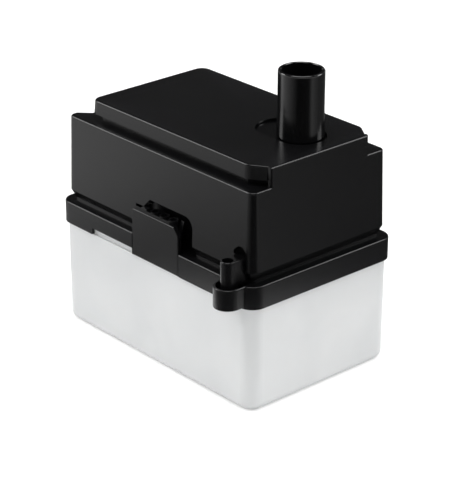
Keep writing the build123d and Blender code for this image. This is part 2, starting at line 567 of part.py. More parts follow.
def upper_bracket():
    """Bent strap across the top of the stack with a raised hub for the bush."""
    half, step, foot_z = STACK_HALF_W - 0.5, 14.0, STACK_HIGH
    z = [foot_z, foot_z + BRACKET_T, foot_z + BRACKET_RISE, foot_z + BRACKET_RISE + BRACKET_T]
    profile = Polygon((-half, z[0]), (-step - 1.2, z[0]), (-step + 0.4, z[2]), (step - 0.4, z[2]),
                      (step + 1.2, z[0]), (half, z[0]), (half, z[1]), (step + 2.6, z[1]),
                      (step + 0.9, z[3]), (-step - 0.9, z[3]), (-step - 2.6, z[1]), (-half, z[1]),
                      align=None)
    strap = Pos(-BRACKET_W / 2, 0, 0) * extrude(Plane.YZ * profile, amount=BRACKET_W)
    hub_low = foot_z + BUSH_RISE
    strap += rod(0, 0, hub_low, hub_low + BUSH_L, BUSH_R + 2.0)
    strap -= rod(0, 0, hub_low, hub_low + BUSH_L, BUSH_R)
    for side in (-1, 1):
        strap -= rod(0, side * MOTOR_SCREW_Y, foot_z, foot_z + BRACKET_T, MOTOR_SCREW_R + 0.2)
    return on_motor_axis(strap)


def lower_bracket():
    """The same strap under the stack."""
    return mirror(upper_bracket(), about=Plane.XY.offset((STACK_LOW + STACK_HIGH) / 2))


def bush(low):
    """Sintered bearing bush."""
    ring = rod(0, 0, low, low + BUSH_L, BUSH_R) - rod(0, 0, low, low + BUSH_L, SHAFT_R + BUSH_GAP)
    return on_motor_axis(ring)


def upper_bush():
    """Bush in the upper bracket's hub."""
    return bush(STACK_HIGH + BUSH_RISE)


def lower_bush():
    """Bush in the lower bracket's hub."""
    return bush(STACK_LOW - BUSH_RISE - BUSH_L)


def motor_screws():
    """Two long screws through brackets and stack into the chassis posts."""
    screws = None
    head_z = STACK_HIGH + BRACKET_T
    for side in (-1, 1):
        shank = rod(MOTOR_X, side * MOTOR_SCREW_Y, 70.0, head_z, MOTOR_SCREW_R)
        head = rod(MOTOR_X, side * MOTOR_SCREW_Y, head_z, head_z + 2.4, 3.2)
        screw = shank + chamfer(head.edges().group_by(Axis.Z)[-1], 0.6)
        screws = screw if screws is None else screws + screw
    return screws


def rotor_core():
    """Laminated rotor on its shaft, with closed slots shown as shallow skewed grooves."""
    core = rod(0, 0, STACK_LOW + 1, STACK_HIGH - 1, ROTOR_R)
    for i in range(12):
        core -= Rot(0, 0, 30 * i) * rod(ROTOR_R + 0.35, 0, STACK_LOW + 1, STACK_HIGH - 1, 0.8)
    return on_motor_axis(core - rod(0, 0, STACK_LOW, STACK_HIGH, SHAFT_R))


def rotor_end_rings():
    """Cast aluminium end rings of the squirrel cage."""
    ring = rod(0, 0, STACK_HIGH - 1, STACK_HIGH + 1.6, 11.4) - rod(0, 0, STACK_HIGH - 1, STACK_HIGH + 1.6, 8.4)
    drop = STACK_LOW - 1.6 - (STACK_HIGH - 1)
    return on_motor_axis(ring + Pos(0, 0, drop) * ring)


def motor_shaft():
    """Steel shaft from the impeller to the fan."""
    shaft = rod(0, 0, SHAFT_LOW, SHAFT_HIGH, SHAFT_R)
    ends = shaft.edges().group_by(Axis.Z)
    return on_motor_axis(chamfer(ends[0] + ends[-1], 0.3))


def shaft_slinger():
    """Rubber slinger that keeps splashes off the lower bearing."""
    ring = Cone(7.0, 4.0, 2.6, align=(Align.CENTER, Align.CENTER, Align.MIN))
    ring = Pos(0, 0, 67.0) * ring
    return on_motor_axis(ring - rod(0, 0, 67.0, 69.6, SHAFT_R))


def cooling_fan():
    """Fan with curved blades on a hub with a chamfered nose."""
    hub = rod(0, 0, FAN_LOW, FAN_HIGH, 5.0)
    hub = chamfer(hub.edges().group_by(Axis.Z)[-1], 1.2)
    blade = blade_form(4.6, FAN_R, 26.0, 1.1, FAN_LOW + 1.2, FAN_HIGH)
    fan = hub + (rod(0, 0, FAN_LOW, FAN_LOW + 1.2, FAN_R) - rod(0, 0, FAN_LOW, FAN_LOW + 1.2, 4.5))
    for i in range(FAN_BLADES):
        fan += Rot(0, 0, 360 * i / FAN_BLADES) * blade
    return on_motor_axis(fan - rod(0, 0, FAN_LOW, SHAFT_HIGH, SHAFT_R))


def blade_form(root, tip, sweep, thickness, low, high):
    """One upright blade, curved along an arc from root to tip radius."""
    sweep = math.radians(sweep)
    middle = (root + tip) / 2
    start = (root, 0)
    through = (middle * math.cos(sweep * 0.35), middle * math.sin(sweep * 0.35))
    finish = (tip * math.cos(sweep), tip * math.sin(sweep))
    line = ThreePointArc(start, through, finish)
    plan = band_along(line, thickness)
    return Pos(0, 0, low) * extrude(plan, amount=high - low)


def band_along(line, thickness):
    """A band of even thickness along an arc, with round ends."""
    return make_face(offset(line, thickness / 2, side=Side.BOTH))


def impeller():
    """Open impeller: back plate, curved vanes and a hub pressed on the shaft."""
    low, high = CHAMBER_LOW + 1.2, CHAMBER_HIGH - 1.4
    plate = rod(0, 0, high - 1.4, high, IMPELLER_R)
    hub = rod(0, 0, low + 1.4, high, 4.2)
    wheel = plate + hub
    vane = blade_form(3.9, IMPELLER_R - 0.3, 42.0, 1.2, low, high - 1.3)
    for i in range(IMPELLER_VANES):
        wheel += Rot(0, 0, 360 * i / IMPELLER_VANES) * vane
    return on_motor_axis(wheel - rod(0, 0, low, high, SHAFT_R))


# ---------------------------------------------------------------- pump


def pump_column():
    """Slotted tube that hangs the pump from the deck, with its mounting flange and ribs."""
    column = rod(0, 0, VOLUTE_HIGH, DECK_LOW, PUMP_COLUMN_R)
    column += rod(0, 0, DECK_LOW - 2.2, DECK_LOW, 15.0)
    column += rod(0, 0, VOLUTE_HIGH, VOLUTE_HIGH + 2.0, 13.0)
    for i in range(4):
        rib = Polygon((8.5, DECK_LOW - 2.2), (14.0, DECK_LOW - 2.2), (8.5, 46.0), align=None)
        column += Rot(0, 0, 45 + 90 * i) * Pos(0, 0.9, 0) * extrude(Plane.XZ * rib, amount=1.8)
    column -= rod(0, 0, VOLUTE_HIGH, DECK_LOW, PUMP_COLUMN_BORE)
    window = SlotOverall(22.0, 5.0, rotation=90)
    for i in range(2):
        cut = Pos(0, 20, 33.0) * extrude(Plane.XZ * window, amount=40)
        column -= Rot(0, 0, 90 * i) * cut
    return on_motor_axis(column)


def riser_direction():
    """Start point and heading of the volute's outlet, tangent to the chamber, to the riser."""
    dx, dy = RISER_X - MOTOR_X, RISER_Y - MOTOR_Y
    reach = math.hypot(dx, dy)
    heading = math.atan2(dy, dx) - math.asin(TANGENT_R / reach)
    start = (MOTOR_X - TANGENT_R * math.sin(heading), MOTOR_Y + TANGENT_R * math.cos(heading))
    length = math.sqrt(reach ** 2 - TANGENT_R ** 2)
    return start, math.degrees(heading), length


def outlet_rod(radius, extra, start_offset=0.0):
    """A cylinder along the volute's outlet."""
    start, heading, length = riser_direction()
    span = length + extra - start_offset
    tube = Pos(start_offset + span / 2, 0, 0) * Rot(0, 90, 0) * Cylinder(radius, span)
    return Pos(start[0], start[1], OUTLET_Z) * Rot(0, 0, heading) * tube


def volute_housing():
    """Off-centre pump chamber with a tangential outlet and the socket for the riser."""
    body = rod(VOLUTE_OFFSET * -1, VOLUTE_OFFSET, VOLUTE_LOW, VOLUTE_HIGH, VOLUTE_R)
    body = chamfer(body.edges().group_by(Axis.Z)[-1], 1.5)
    body = on_motor_axis(body)
    body += outlet_rod(RISER_R - 0.2, 0.0)
    body += rod(RISER_X, RISER_Y, OUTLET_Z - RISER_R + 0.1, OUTLET_Z + 12.0, RISER_R + 1.8)
    body -= outlet_rod(RISER_BORE, 0.0)
    chamber = rod(-VOLUTE_OFFSET, VOLUTE_OFFSET, VOLUTE_LOW, CHAMBER_HIGH, CHAMBER_R)
    body -= on_motor_axis(chamber)
    body -= rod(MOTOR_X, MOTOR_Y, CHAMBER_HIGH, VOLUTE_HIGH, 3.2)
    body -= rod(RISER_X, RISER_Y, OUTLET_Z + 4.0, OUTLET_Z + 12.0, RISER_R)
    body -= rod(RISER_X, RISER_Y, OUTLET_Z, OUTLET_Z + 5.0, RISER_BORE)
    for x, y in pump_screw_places():
        body += rod(x, y, VOLUTE_LOW, VOLUTE_HIGH - 4, 3.0)
        body -= rod(x, y, VOLUTE_LOW, VOLUTE_LOW + 6.0, 1.1)
    return body


def pump_screw_places():
    """Centres of the three screws round the volute."""
    places = []
    for angle in (20, 250, 305):
        radius = VOLUTE_R + 1.6
        turn = math.radians(angle)
        places.append((MOTOR_X - VOLUTE_OFFSET + radius * math.cos(turn),
                       MOTOR_Y + VOLUTE_OFFSET + radius * math.sin(turn)))
    return places


def strainer_base():
    """Disc under the volute with the suction eye and a crown of short legs as a strainer."""
    centre_x, centre_y = MOTOR_X - VOLUTE_OFFSET, MOTOR_Y + VOLUTE_OFFSET
    disc = rod(centre_x, centre_y, VOLUTE_LOW - 1.6, VOLUTE_LOW, VOLUTE_R)
    disc += rod(centre_x, centre_y, VOLUTE_LOW, CHAMBER_LOW, CHAMBER_R - 0.15)
    for x, y in pump_screw_places():
        disc += rod(x, y, VOLUTE_LOW - 1.6, VOLUTE_LOW, 3.0)
    legs = None
    for i in range(10):
        leg = Rot(0, 0, 36 * i) * Pos(VOLUTE_R - 3.2, 0, 0) * box(
            -1.8, 1.8, -1.6, 1.6, STRAINER_LOW, VOLUTE_LOW - 1.6)
        legs = leg if legs is None else legs + leg
    disc += Pos(centre_x, centre_y, 0) * legs
    disc -= rod(MOTOR_X, MOTOR_Y, VOLUTE_LOW - 2, CHAMBER_LOW, EYE_R)
    for x, y in pump_screw_places():
        disc -= rod(x, y, VOLUTE_LOW - 1.6, VOLUTE_LOW, 1.3)
    return disc


def pump_screws():
    """Screws that hold the strainer base to the volute."""
    screws = None
    for x, y in pump_screw_places():
        screw = rod(x, y, VOLUTE_LOW - 1.6, VOLUTE_LOW + 5.0, 1.1)
        screw += rod(x, y, STRAINER_LOW, VOLUTE_LOW - 1.6, 2.1)
        screws = screw if screws is None else screws + screw
    return screws


def riser_pipe():
    """Pipe from the volute's socket up through the deck into the check valve."""
    low, high = OUTLET_Z + 4.0, VALVE_SEAT_Z - 3.0
    pipe = rod(RISER_X, RISER_Y, low, high, RISER_R)
    pipe += rod(RISER_X, RISER_Y, DECK_LOW - 2.0, DECK_LOW, RISER_R + 2.2)
    return pipe - rod(RISER_X, RISER_Y, low, high, RISER_BORE)


def check_valve_body():
    """Upright ball valve over the riser: socket, conical seat, ball chamber and three guide ribs."""
    body = rod(0, 0, VALVE_LOW, VALVE_HIGH, VALVE_R)
    body += rod(0, 0, VALVE_LOW, VALVE_LOW + 2.0, VALVE_R + 2.5)
    body -= rod(0, 0, VALVE_LOW, VALVE_SEAT_Z - 3.0, RISER_R)
    body -= rod(0, 0, VALVE_SEAT_Z - 3.0, VALVE_SEAT_Z, BALL_SEAT_R)
    hollow = rod(0, 0, VALVE_SEAT_Z, VALVE_HIGH, VALVE_CHAMBER_R)
    for i in range(3):
        rib = Rot(0, 0, 120 * i) * box(BALL_R + 0.4, VALVE_CHAMBER_R + 1, -0.7, 0.7, VALVE_SEAT_Z, 82.0)
        hollow -= rib
    body -= hollow
    body = Pos(RISER_X, RISER_Y, 0) * body
    return body


def ball_rest_z():
    """Height of the ball's centre when it lies on its seat."""
    return VALVE_SEAT_Z + math.sqrt(BALL_R ** 2 - BALL_SEAT_R ** 2) + 0.03


def check_ball():
    """Rubber-coated ball that closes the riser by its own weight."""
    return Pos(RISER_X, RISER_Y, ball_rest_z()) * Sphere(BALL_R)


def elbow_run(radius, low, end_x):
    """Two crossing rods of a moulded elbow: a stouter one up from the valve, one out at the rear."""
    upright = rod(RISER_X, RISER_Y, low, DISCHARGE_Z + radius + 0.5, radius + 0.5)
    return upright + rod_x(RISER_Y, DISCHARGE_Z, end_x, RISER_X, radius)


def discharge_elbow():
    """Cap of the valve, moulded elbow, and the spigot that leaves through the rear bay."""
    plug_low = VALVE_HIGH - 4.0
    stop_z = ball_rest_z() + BALL_R + BALL_LIFT + 0.3
    elbow = elbow_run(DISCHARGE_R, VALVE_HIGH + 1.0, DISCHARGE_END_X)
    elbow += rod(RISER_X, RISER_Y, VALVE_HIGH, VALVE_HIGH + 2.4, VALVE_R)
    elbow += rod(RISER_X, RISER_Y, plug_low, VALVE_HIGH + 0.5, VALVE_CHAMBER_R)
    elbow += rod_x(RISER_Y, DISCHARGE_Z, RECESS_DEPTH_X - 2.0, RECESS_DEPTH_X, DISCHARGE_R + 2.6)
    elbow -= elbow_run(DISCHARGE_BORE, plug_low - 1.0, DISCHARGE_END_X - 1.0)
    for turn in (0, 90):
        reach = VALVE_CHAMBER_R - 1.0
        bar = Rot(0, 0, turn) * box(-reach, reach, -0.6, 0.6, stop_z, plug_low + 1.0)
        elbow += Pos(RISER_X, RISER_Y, 0) * bar
    return elbow


# ---------------------------------------------------------------- float and level sensing


def float_stem():
    """Tube that guides the float and holds the reed switches; its nut clamps the deck."""
    stem = rod(0, 0, STEM_LOW, DECK_TOP + 9, STEM_R)
    stem = chamfer(stem.edges().group_by(Axis.Z)[0], 0.8)
    stem += rod(0, 0, DECK_LOW - 2.0, DECK_LOW, 6.5)
    stem -= rod(0, 0, STEM_LOW + 2, DECK_TOP + 9, 2.0)
    stem -= rod(0, 0, 14.2, 15.6, STEM_R) - rod(0, 0, 14.2, 15.6, STEM_R - 0.5)
    return Pos(FLOAT_X, FLOAT_Y, 0) * stem


def level_float():
    """Foam float with rounded shoulders and a pocket for its magnet."""
    form = rod(0, 0, FLOAT_LOW, FLOAT_HIGH, FLOAT_R)
    ends = form.edges().group_by(Axis.Z)
    form = chamfer(ends[0] + ends[-1], 1.6)
    form -= rod(0, 0, FLOAT_LOW, FLOAT_HIGH, FLOAT_BORE)
    form -= rod(0, 0, FLOAT_HIGH - MAGNET_H, FLOAT_HIGH, MAGNET_R)
    return Pos(FLOAT_X, FLOAT_Y, 0) * form


def float_magnet():
    """Ring magnet pressed into the float's top."""
    low, high = FLOAT_HIGH - MAGNET_H, FLOAT_HIGH
    ring = rod(0, 0, low, high, MAGNET_R) - rod(0, 0, low, high, FLOAT_BORE + 0.3)
    return Pos(FLOAT_X, FLOAT_Y, 0) * ring


def float_stop_ring():
    """Snap ring in the stem's groove that keeps the float on."""
    ring = rod(0, 0, 14.2, 15.6, 5.6) - rod(0, 0, 14.2, 15.6, STEM_R - 0.5)
    ring -= box(-0.9, 0.9, 0, 8, 14.2, 15.6)
    return Pos(FLOAT_X, FLOAT_Y, 0) * ring


# ---------------------------------------------------------------- electrics


def control_board():
    """Circuit board on its pillars over the float."""
    board = box(BOARD_X0, BOARD_X1, BOARD_Y0, BOARD_Y1, BOARD_Z, BOARD_Z + BOARD_T)
    board = fillet(board.edges().filter_by(Axis.Z), 1.5)
    return board


def relay():
    """Cube relay that switches the motor."""
    body = box(36.0, 52.0, -35.0, -22.5, BOARD_Z + BOARD_T, BOARD_Z + BOARD_T + 15.5)
    return chamfer(body.edges().filter_by(Axis.Z) + body.edges().group_by(Axis.Z)[-1], 0.6)


def film_capacitor():
    """Boxed film capacitor for the board's supply."""
    body = box(36.0, 54.0, -19.0, -11.0, BOARD_Z + BOARD_T, BOARD_Z + BOARD_T + 13.0)
    return fillet(body.edges().filter_by(Axis.Z), 0.8)


def terminal_block():
    """Three-pole screw terminal on the deck beside the gland."""
    x0, x1, y0, y1 = -60.0, -48.0, -38.0, -14.0
    base = box(x0, x1, y0, y1, DECK_TOP, 78.0)
    for i in range(3):
        y = y0 + 4.0 + 8.0 * i
        tower = box(x0 + 1.5, x1 - 1.5, y - 3.4, y + 3.4, 78.0, 84.0)
        tower = fillet(tower.edges().filter_by(Axis.Z), 1.0)
        base += tower - rod((x0 + x1) / 2, y, 79.0, 84.0, 2.2)
        base -= rod_x(y, 74.0, x0, x1, 1.8)
    return base


def cable_gland():
    """Gland body through the rear wall, with a hexagon outside; the cord itself is left out."""
    wall_in = RECESS_DEPTH_X + COVER_WALL
    body = rod_x(GLAND_Y, GLAND_Z, GLAND_END_X + 5, wall_in + 8, GLAND_R)
    hexagon = Plane.YZ * RegularPolygon(8.6, 6)
    body += Pos(RECESS_DEPTH_X - 5.0, GLAND_Y, GLAND_Z) * extrude(hexagon, amount=5.0)
    dome = rod_x(GLAND_Y, GLAND_Z, GLAND_END_X, RECESS_DEPTH_X - 5.0, 7.4)
    body += chamfer(dome.edges().sort_by(Axis.X)[0], 2.0)
    return body - rod_x(GLAND_Y, GLAND_Z, GLAND_END_X, wall_in + 8, GLAND_BORE)


def gland_nut():
    """Hexagon nut that clamps the gland from inside the cover."""
    wall_in = RECESS_DEPTH_X + COVER_WALL
    nut = Pos(wall_in, GLAND_Y, GLAND_Z) * extrude(Plane.YZ * RegularPolygon(8.6, 6), amount=4.0)
    return nut - rod_x(GLAND_Y, GLAND_Z, wall_in, wall_in + 4.0, GLAND_R)


NODES = {
    "tank": tank,
    "chassis": chassis,
    "drain_chimney": drain_chimney,
    "motor_cover": motor_cover,
    "top_lid": top_lid,
    "inlet_adaptor": inlet_adaptor,
    "inlet_seal": inlet_seal,
    "cover_screws": cover_screws,
    "front_clip": front_clip,
    "rear_clip": rear_clip,
    "stator_stack": stator_stack,
    "shading_rings": shading_rings,
    "coil_bobbin": coil_bobbin,
    "coil_winding": coil_winding,
    "upper_bracket": upper_bracket,
    "lower_bracket": lower_bracket,
    "upper_bush": upper_bush,
    "lower_bush": lower_bush,
    "motor_screws": motor_screws,
    "rotor_core": rotor_core,
    "rotor_end_rings": rotor_end_rings,
    "motor_shaft": motor_shaft,
    "shaft_slinger": shaft_slinger,
    "cooling_fan": cooling_fan,
    "impeller": impeller,
    "pump_column": pump_column,
    "volute_housing": volute_housing,
    "strainer_base": strainer_base,
    "pump_screws": pump_screws,
    "riser_pipe": riser_pipe,
    "check_valve_body": check_valve_body,
    "check_ball": check_ball,
    "discharge_elbow": discharge_elbow,
    "float_stem": float_stem,
    "level_float": level_float,
    "float_magnet": float_magnet,
    "float_stop_ring": float_stop_ring,
    "control_board": control_board,
    "relay": relay,
    "film_capacitor": film_capacitor,
    "terminal_block": terminal_block,
    "cable_gland": cable_gland,
    "gland_nut": gland_nut,
}

os.makedirs("parts", exist_ok=True)
for name, build in NODES.items():
    export_step(build(), os.path.join("parts", name + ".step"))
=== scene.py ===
import logging
import math
from dataclasses import dataclass
from enum import Enum

import bmesh
import bpy
from mathutils import Matrix, Vector


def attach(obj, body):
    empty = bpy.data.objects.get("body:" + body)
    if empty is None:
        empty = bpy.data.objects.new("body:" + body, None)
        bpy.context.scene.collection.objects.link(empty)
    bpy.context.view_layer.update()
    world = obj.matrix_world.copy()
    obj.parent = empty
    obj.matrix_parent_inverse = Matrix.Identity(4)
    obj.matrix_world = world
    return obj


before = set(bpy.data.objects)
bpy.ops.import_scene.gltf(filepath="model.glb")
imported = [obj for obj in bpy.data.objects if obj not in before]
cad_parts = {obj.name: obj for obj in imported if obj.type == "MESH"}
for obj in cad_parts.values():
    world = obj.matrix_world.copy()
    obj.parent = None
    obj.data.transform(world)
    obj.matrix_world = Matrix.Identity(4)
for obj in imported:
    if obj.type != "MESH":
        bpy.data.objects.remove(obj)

# Tank-type condensate pump: finishes, fine parts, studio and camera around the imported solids.
# Lengths in this file are metres, unless a name ends in _mm.

MM = 0.001
LOG = logging.getLogger("condensate_pump")
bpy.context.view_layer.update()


# ------------------------------------------------------------------ colour and node helpers


def linear(code: str) -> tuple[float, float, float, float]:
    """Turns an sRGB hex code into the linear colour that a shader takes.

    Args:
        code: colour such as "#1b1c1e".

    Returns:
        Linear red, green, blue and an alpha of 1.
    """
    channels = [int(code[i:i + 2], 16) / 255 for i in (1, 3, 5)]
    red, green, blue = [c / 12.92 if c <= 0.04045 else ((c + 0.055) / 1.055) ** 2.4 for c in channels]
    return red, green, blue, 1.0


def add_node(tree: bpy.types.NodeTree, kind: str, settings: dict[str | int, object] | None = None,
             links: dict[str | int, bpy.types.NodeSocket] | None = None) -> bpy.types.Node:
    """Adds one node with its settings and its incoming links.

    Args:
        tree: tree that receives the node.
        kind: Blender's name for the node type.
        settings: node properties or input values by name; an input may also be given by number.
        links: output sockets by the name or number of the input that they feed.

    Returns:
        The new node.
    """
    node = tree.nodes.new(kind)
    for name, value in (settings or {}).items():
        if isinstance(name, int) or name in node.inputs:
            node.inputs[name].default_value = value
        else:
            setattr(node, name, value)
    for name, socket in (links or {}).items():
        tree.links.new(socket, node.inputs[name])
    return node


def wave_scale(pitch_mm: float) -> float:
    """Gives the scale of a wave texture on coordinates in metres.

    Args:
        pitch_mm: distance at which the bands repeat.

    Returns:
        The value for the texture's Scale.
    """
    # At a scale of 1 the bands repeat every pi / 10.
    return math.pi / (10.0 * pitch_mm * MM)


def grain_scale(size_mm: float) -> float:
    """Gives the scale of a noise texture on coordinates in metres.

    Args:
        size_mm: rough width of one blob.

    Returns:
        The value for the texture's Scale.
    """
    # At a scale of 1 a blob is about half a unit across.
    return 0.5 / (size_mm * MM)


def find_node(tree: bpy.types.NodeTree, kind: str) -> bpy.types.Node:
    """Finds a node that a new material or world comes with.

    Args:
        tree: tree to look in.
        kind: Blender's short name for the node type, such as "BSDF_PRINCIPLED".

    Returns:
        The node.
    """
    return next(node for node in tree.nodes if node.type == kind)


# ------------------------------------------------------------------ finishes


@dataclass(frozen=True)
class Finish:
    """A plain moulded or formed surface; each real material below adds its own texture.

    Attributes:
        name: name of the material.
        base: sRGB hex of the surface.
        rough: typical roughness.
        ior: index of refraction, 1.5 unless the material has another.
        metal: True for bare metal.
        grain_mm: size of the surface's grain, as drawn.
        grain_depth_mm: height of the grain.
        rough_spread: how far the grain moves the roughness each way.
    """

    name: str
    base: str
    rough: float
    ior: float = 1.5
    metal: bool = False
    grain_mm: float = 0.8
    grain_depth_mm: float = 0.01
    rough_spread: float = 0.05

    def make(self) -> bpy.types.Material:
        """Builds the material once.

        Returns:
            The material, the same one at every call.
        """
        found = bpy.data.materials.get(self.name)
        if found is not None:
            return found
        made = bpy.data.materials.new(self.name)
        made.use_nodes = True
        tree = made.node_tree
        shader = find_node(tree, "BSDF_PRINCIPLED")
        shader.inputs["Base Color"].default_value = linear(self.base)
        shader.inputs["Roughness"].default_value = self.rough
        shader.inputs["Metallic"].default_value = 1.0 if self.metal else 0.0
        if not self.metal:
            shader.inputs["IOR"].default_value = self.ior
        place = add_node(tree, "ShaderNodeTexCoord").outputs["Object"]
        self.dress(tree, shader, place)
        return made

    def dress(self, tree: bpy.types.NodeTree, shader: bpy.types.Node, place: bpy.types.NodeSocket) -> None:
        """Adds the grain that every moulded or rolled surface has.

        Args:
            tree: the material's tree.
            shader: its principled shader.
            place: coordinates in metres on the object.
        """
        # Real mould and cast grain is near 0.05 mm; it is drawn at grain_mm so that it shows at all.
        grain = add_node(tree, "ShaderNodeTexNoise",
                         {"Scale": grain_scale(self.grain_mm), "Detail": 4.0, "Roughness": 0.6},
                         {"Vector": place})
        self.link_bump(tree, shader, grain.outputs["Fac"], self.grain_depth_mm)
        self.vary_rough(tree, shader, grain.outputs["Fac"])

    def link_bump(self, tree: bpy.types.NodeTree, shader: bpy.types.Node, height: bpy.types.NodeSocket,
                  depth_mm: float) -> None:
        """Feeds a height pattern to the shader's normal.

        Args:
            tree: the material's tree.
            shader: its principled shader.
            height: pattern from 0 to 1.
            depth_mm: real height that 1 stands for.
        """
        bump = add_node(tree, "ShaderNodeBump", {"Strength": 1.0, "Distance": depth_mm * MM},
                        {"Height": height})
        tree.links.new(bump.outputs["Normal"], shader.inputs["Normal"])

    def vary_rough(self, tree: bpy.types.NodeTree, shader: bpy.types.Node,
                   pattern: bpy.types.NodeSocket) -> None:
        """Lets the roughness wander with a pattern, by up to rough_spread each way.

        Args:
            tree: the material's tree.
            shader: its principled shader.
            pattern: pattern from 0 to 1.
        """
        span = add_node(tree, "ShaderNodeMapRange",
                        {"To Min": self.rough - self.rough_spread, "To Max": self.rough + self.rough_spread},
                        {"Value": pattern})
        tree.links.new(span.outputs["Result"], shader.inputs["Roughness"])

    def mix_colour(self, tree: bpy.types.NodeTree, pattern: bpy.types.NodeSocket, first: str,
                   second: str) -> bpy.types.NodeSocket:
        """Blends two colours by a pattern.

        Args:
            tree: the material's tree.
            pattern: 0 gives the first colour, 1 the second.
            first: sRGB hex.
            second: sRGB hex.

        Returns:
            The colour's socket.
        """
        ramp = add_node(tree, "ShaderNodeValToRGB", {}, {"Fac": pattern})
        ramp.color_ramp.elements[0].color = linear(first)
        ramp.color_ramp.elements[1].color = linear(second)
        return ramp.outputs["Color"]


@dataclass(frozen=True)
class EngineeringPlastic(Finish):
    """Injection-moulded engineering plastic, such as ABS, acetal or nylon.

    An eroded mould leaves it satin, and handling rubs its edges to another shade.

    Attributes:
        specular: strength of the surface reflection, 0.5 for the bare index of refraction.
        rubbed: sRGB hex of an edge that hands have polished.
        flow_mm: size of the slow shades that the melt's flow leaves.
        grain_share: share of the fine grain in the roughness, beside the flow.
        edge_range: pointiness at which rubbing starts and at which it is full.
        edge_wear: how much of the rubbed colour a sharp edge takes.
    """

    ior: float = 1.53
    rough_spread: float = 0.04
    specular: float = 0.45
    rubbed: str = "#161618"
    flow_mm: float = 28.0
    grain_share: float = 0.35
    edge_range: tuple[float, float] = (0.53, 0.62)
    edge_wear: float = 0.6

    def dress(self, tree: bpy.types.NodeTree, shader: bpy.types.Node, place: bpy.types.NodeSocket) -> None:
        """Adds spark grain, slow flow shade and a little wear where edges are rubbed.

        Args:
            tree: the material's tree.
            shader: its principled shader.
            place: coordinates in metres on the object.
        """
        shader.inputs["Specular IOR Level"].default_value = self.specular
        # Real spark grain is near 0.05 mm; it is drawn at grain_mm so that it shows at all.
        grain = add_node(tree, "ShaderNodeTexNoise",
                         {"Scale": grain_scale(self.grain_mm), "Detail": 3.0, "Roughness": 0.55},
                         {"Vector": place})
        flow = add_node(tree, "ShaderNodeTexNoise",
                        {"Scale": grain_scale(self.flow_mm), "Detail": 2.0}, {"Vector": place})
        both = add_node(tree, "ShaderNodeMath", {"operation": "MULTIPLY_ADD", 1: self.grain_share},
                        {0: grain.outputs["Fac"], 2: flow.outputs["Fac"]})
        self.link_bump(tree, shader, grain.outputs["Fac"], self.grain_depth_mm)
        self.vary_rough(tree, shader, both.outputs["Value"])
        worn = add_node(tree, "ShaderNodeNewGeometry").outputs["Pointiness"]
        edge = add_node(tree, "ShaderNodeMapRange",
                        {"From Min": self.edge_range[0], "From Max": self.edge_range[1],
                         "To Max": self.edge_wear},
                        {"Value": worn})
        colour = self.mix_colour(tree, edge.outputs["Result"], self.base, self.rubbed)
        tree.links.new(colour, shader.inputs["Base Color"])


@dataclass(frozen=True)
class MouldedPolypropylene(Finish):
    """Natural polypropylene. Milky, with light carried inside the wall and faint flow marks.

    Attributes:
        shade: sRGB hex of the darker clouds.
        depth_mm: how far light travels inside the wall.
        depth_share: share of depth_mm that red, green and blue light travel.
        milkiness: share of the light that enters the wall.
        cloud_mm: size of the flow clouds.
        cloud_pull: how far the flow draws the clouds out of round.
    """

    ior: float = 1.49
    shade: str = "#d9dbdc"
    depth_mm: float = 2.0
    depth_share: tuple[float, float, float] = (1.0, 0.95, 0.9)
    milkiness: float = 0.25
    cloud_mm: float = 22.0
    cloud_pull: float = 0.6

    def dress(self, tree: bpy.types.NodeTree, shader: bpy.types.Node, place: bpy.types.NodeSocket) -> None:
        """Adds the milky depth, soft flow clouds and a fine moulded grain.

        Args:
            tree: the material's tree.
            shader: its principled shader.
            place: coordinates in metres on the object.
        """
        shader.inputs["Subsurface Weight"].default_value = self.milkiness
        shader.inputs["Subsurface Radius"].default_value = self.depth_share
        shader.inputs["Subsurface Scale"].default_value = self.depth_mm * MM
        clouds = add_node(tree, "ShaderNodeTexNoise",
                          {"Scale": grain_scale(self.cloud_mm), "Detail": 2.0,
                           "Distortion": self.cloud_pull}, {"Vector": place})
        tree.links.new(self.mix_colour(tree, clouds.outputs["Fac"], self.shade, self.base),
                       shader.inputs["Base Color"])
        # Real mould grain is near 0.05 mm; it is drawn at grain_mm so that it shows at all.
        grain = add_node(tree, "ShaderNodeTexNoise",
                         {"Scale": grain_scale(self.grain_mm), "Detail": 3.0}, {"Vector": place})
        self.link_bump(tree, shader, grain.outputs["Fac"], self.grain_depth_mm)
        self.vary_rough(tree, shader, clouds.outputs["Fac"])


@dataclass(frozen=True)
class ElectricalSheet(Finish):
    """Stacked electrical steel. The edges of the sheets draw fine level lines round the stack.

    Attributes:
        line_mm: distance between the level lines.
        line_depth_mm: depth of a line.
        oxide: sRGB hex of the oxide bloom.
        bloom_mm: size of one patch of bloom.
    """

    rough_spread: float = 0.08
    line_mm: float = 1.0
    line_depth_mm: float = 0.06
    bloom_mm: float = 6.0
    oxide: str = "#3d4148"

    def dress(self, tree: bpy.types.NodeTree, shader: bpy.types.Node, place: bpy.types.NodeSocket) -> None:
        """Adds level lines and a blue-grey oxide bloom.

        Args:
            tree: the material's tree.
            shader: its principled shader.
            place: coordinates in metres on the object.
        """
        split = add_node(tree, "ShaderNodeSeparateXYZ", {}, {0: place})
        turned = add_node(tree, "ShaderNodeCombineXYZ", {}, {"X": split.outputs["Z"]})
        # Sheets are 0.5 mm thick; the lines stand two sheets apart so that they show.
        lines = add_node(tree, "ShaderNodeTexWave", {"Scale": wave_scale(self.line_mm)},
                         {"Vector": turned.outputs["Vector"]})
        bloom = add_node(tree, "ShaderNodeTexNoise", {"Scale": grain_scale(self.bloom_mm)}, {"Vector": place})
        tree.links.new(self.mix_colour(tree, bloom.outputs["Fac"], self.base, self.oxide),
                       shader.inputs["Base Color"])
        self.link_bump(tree, shader, lines.outputs["Fac"], self.line_depth_mm)
        self.vary_rough(tree, shader, bloom.outputs["Fac"])


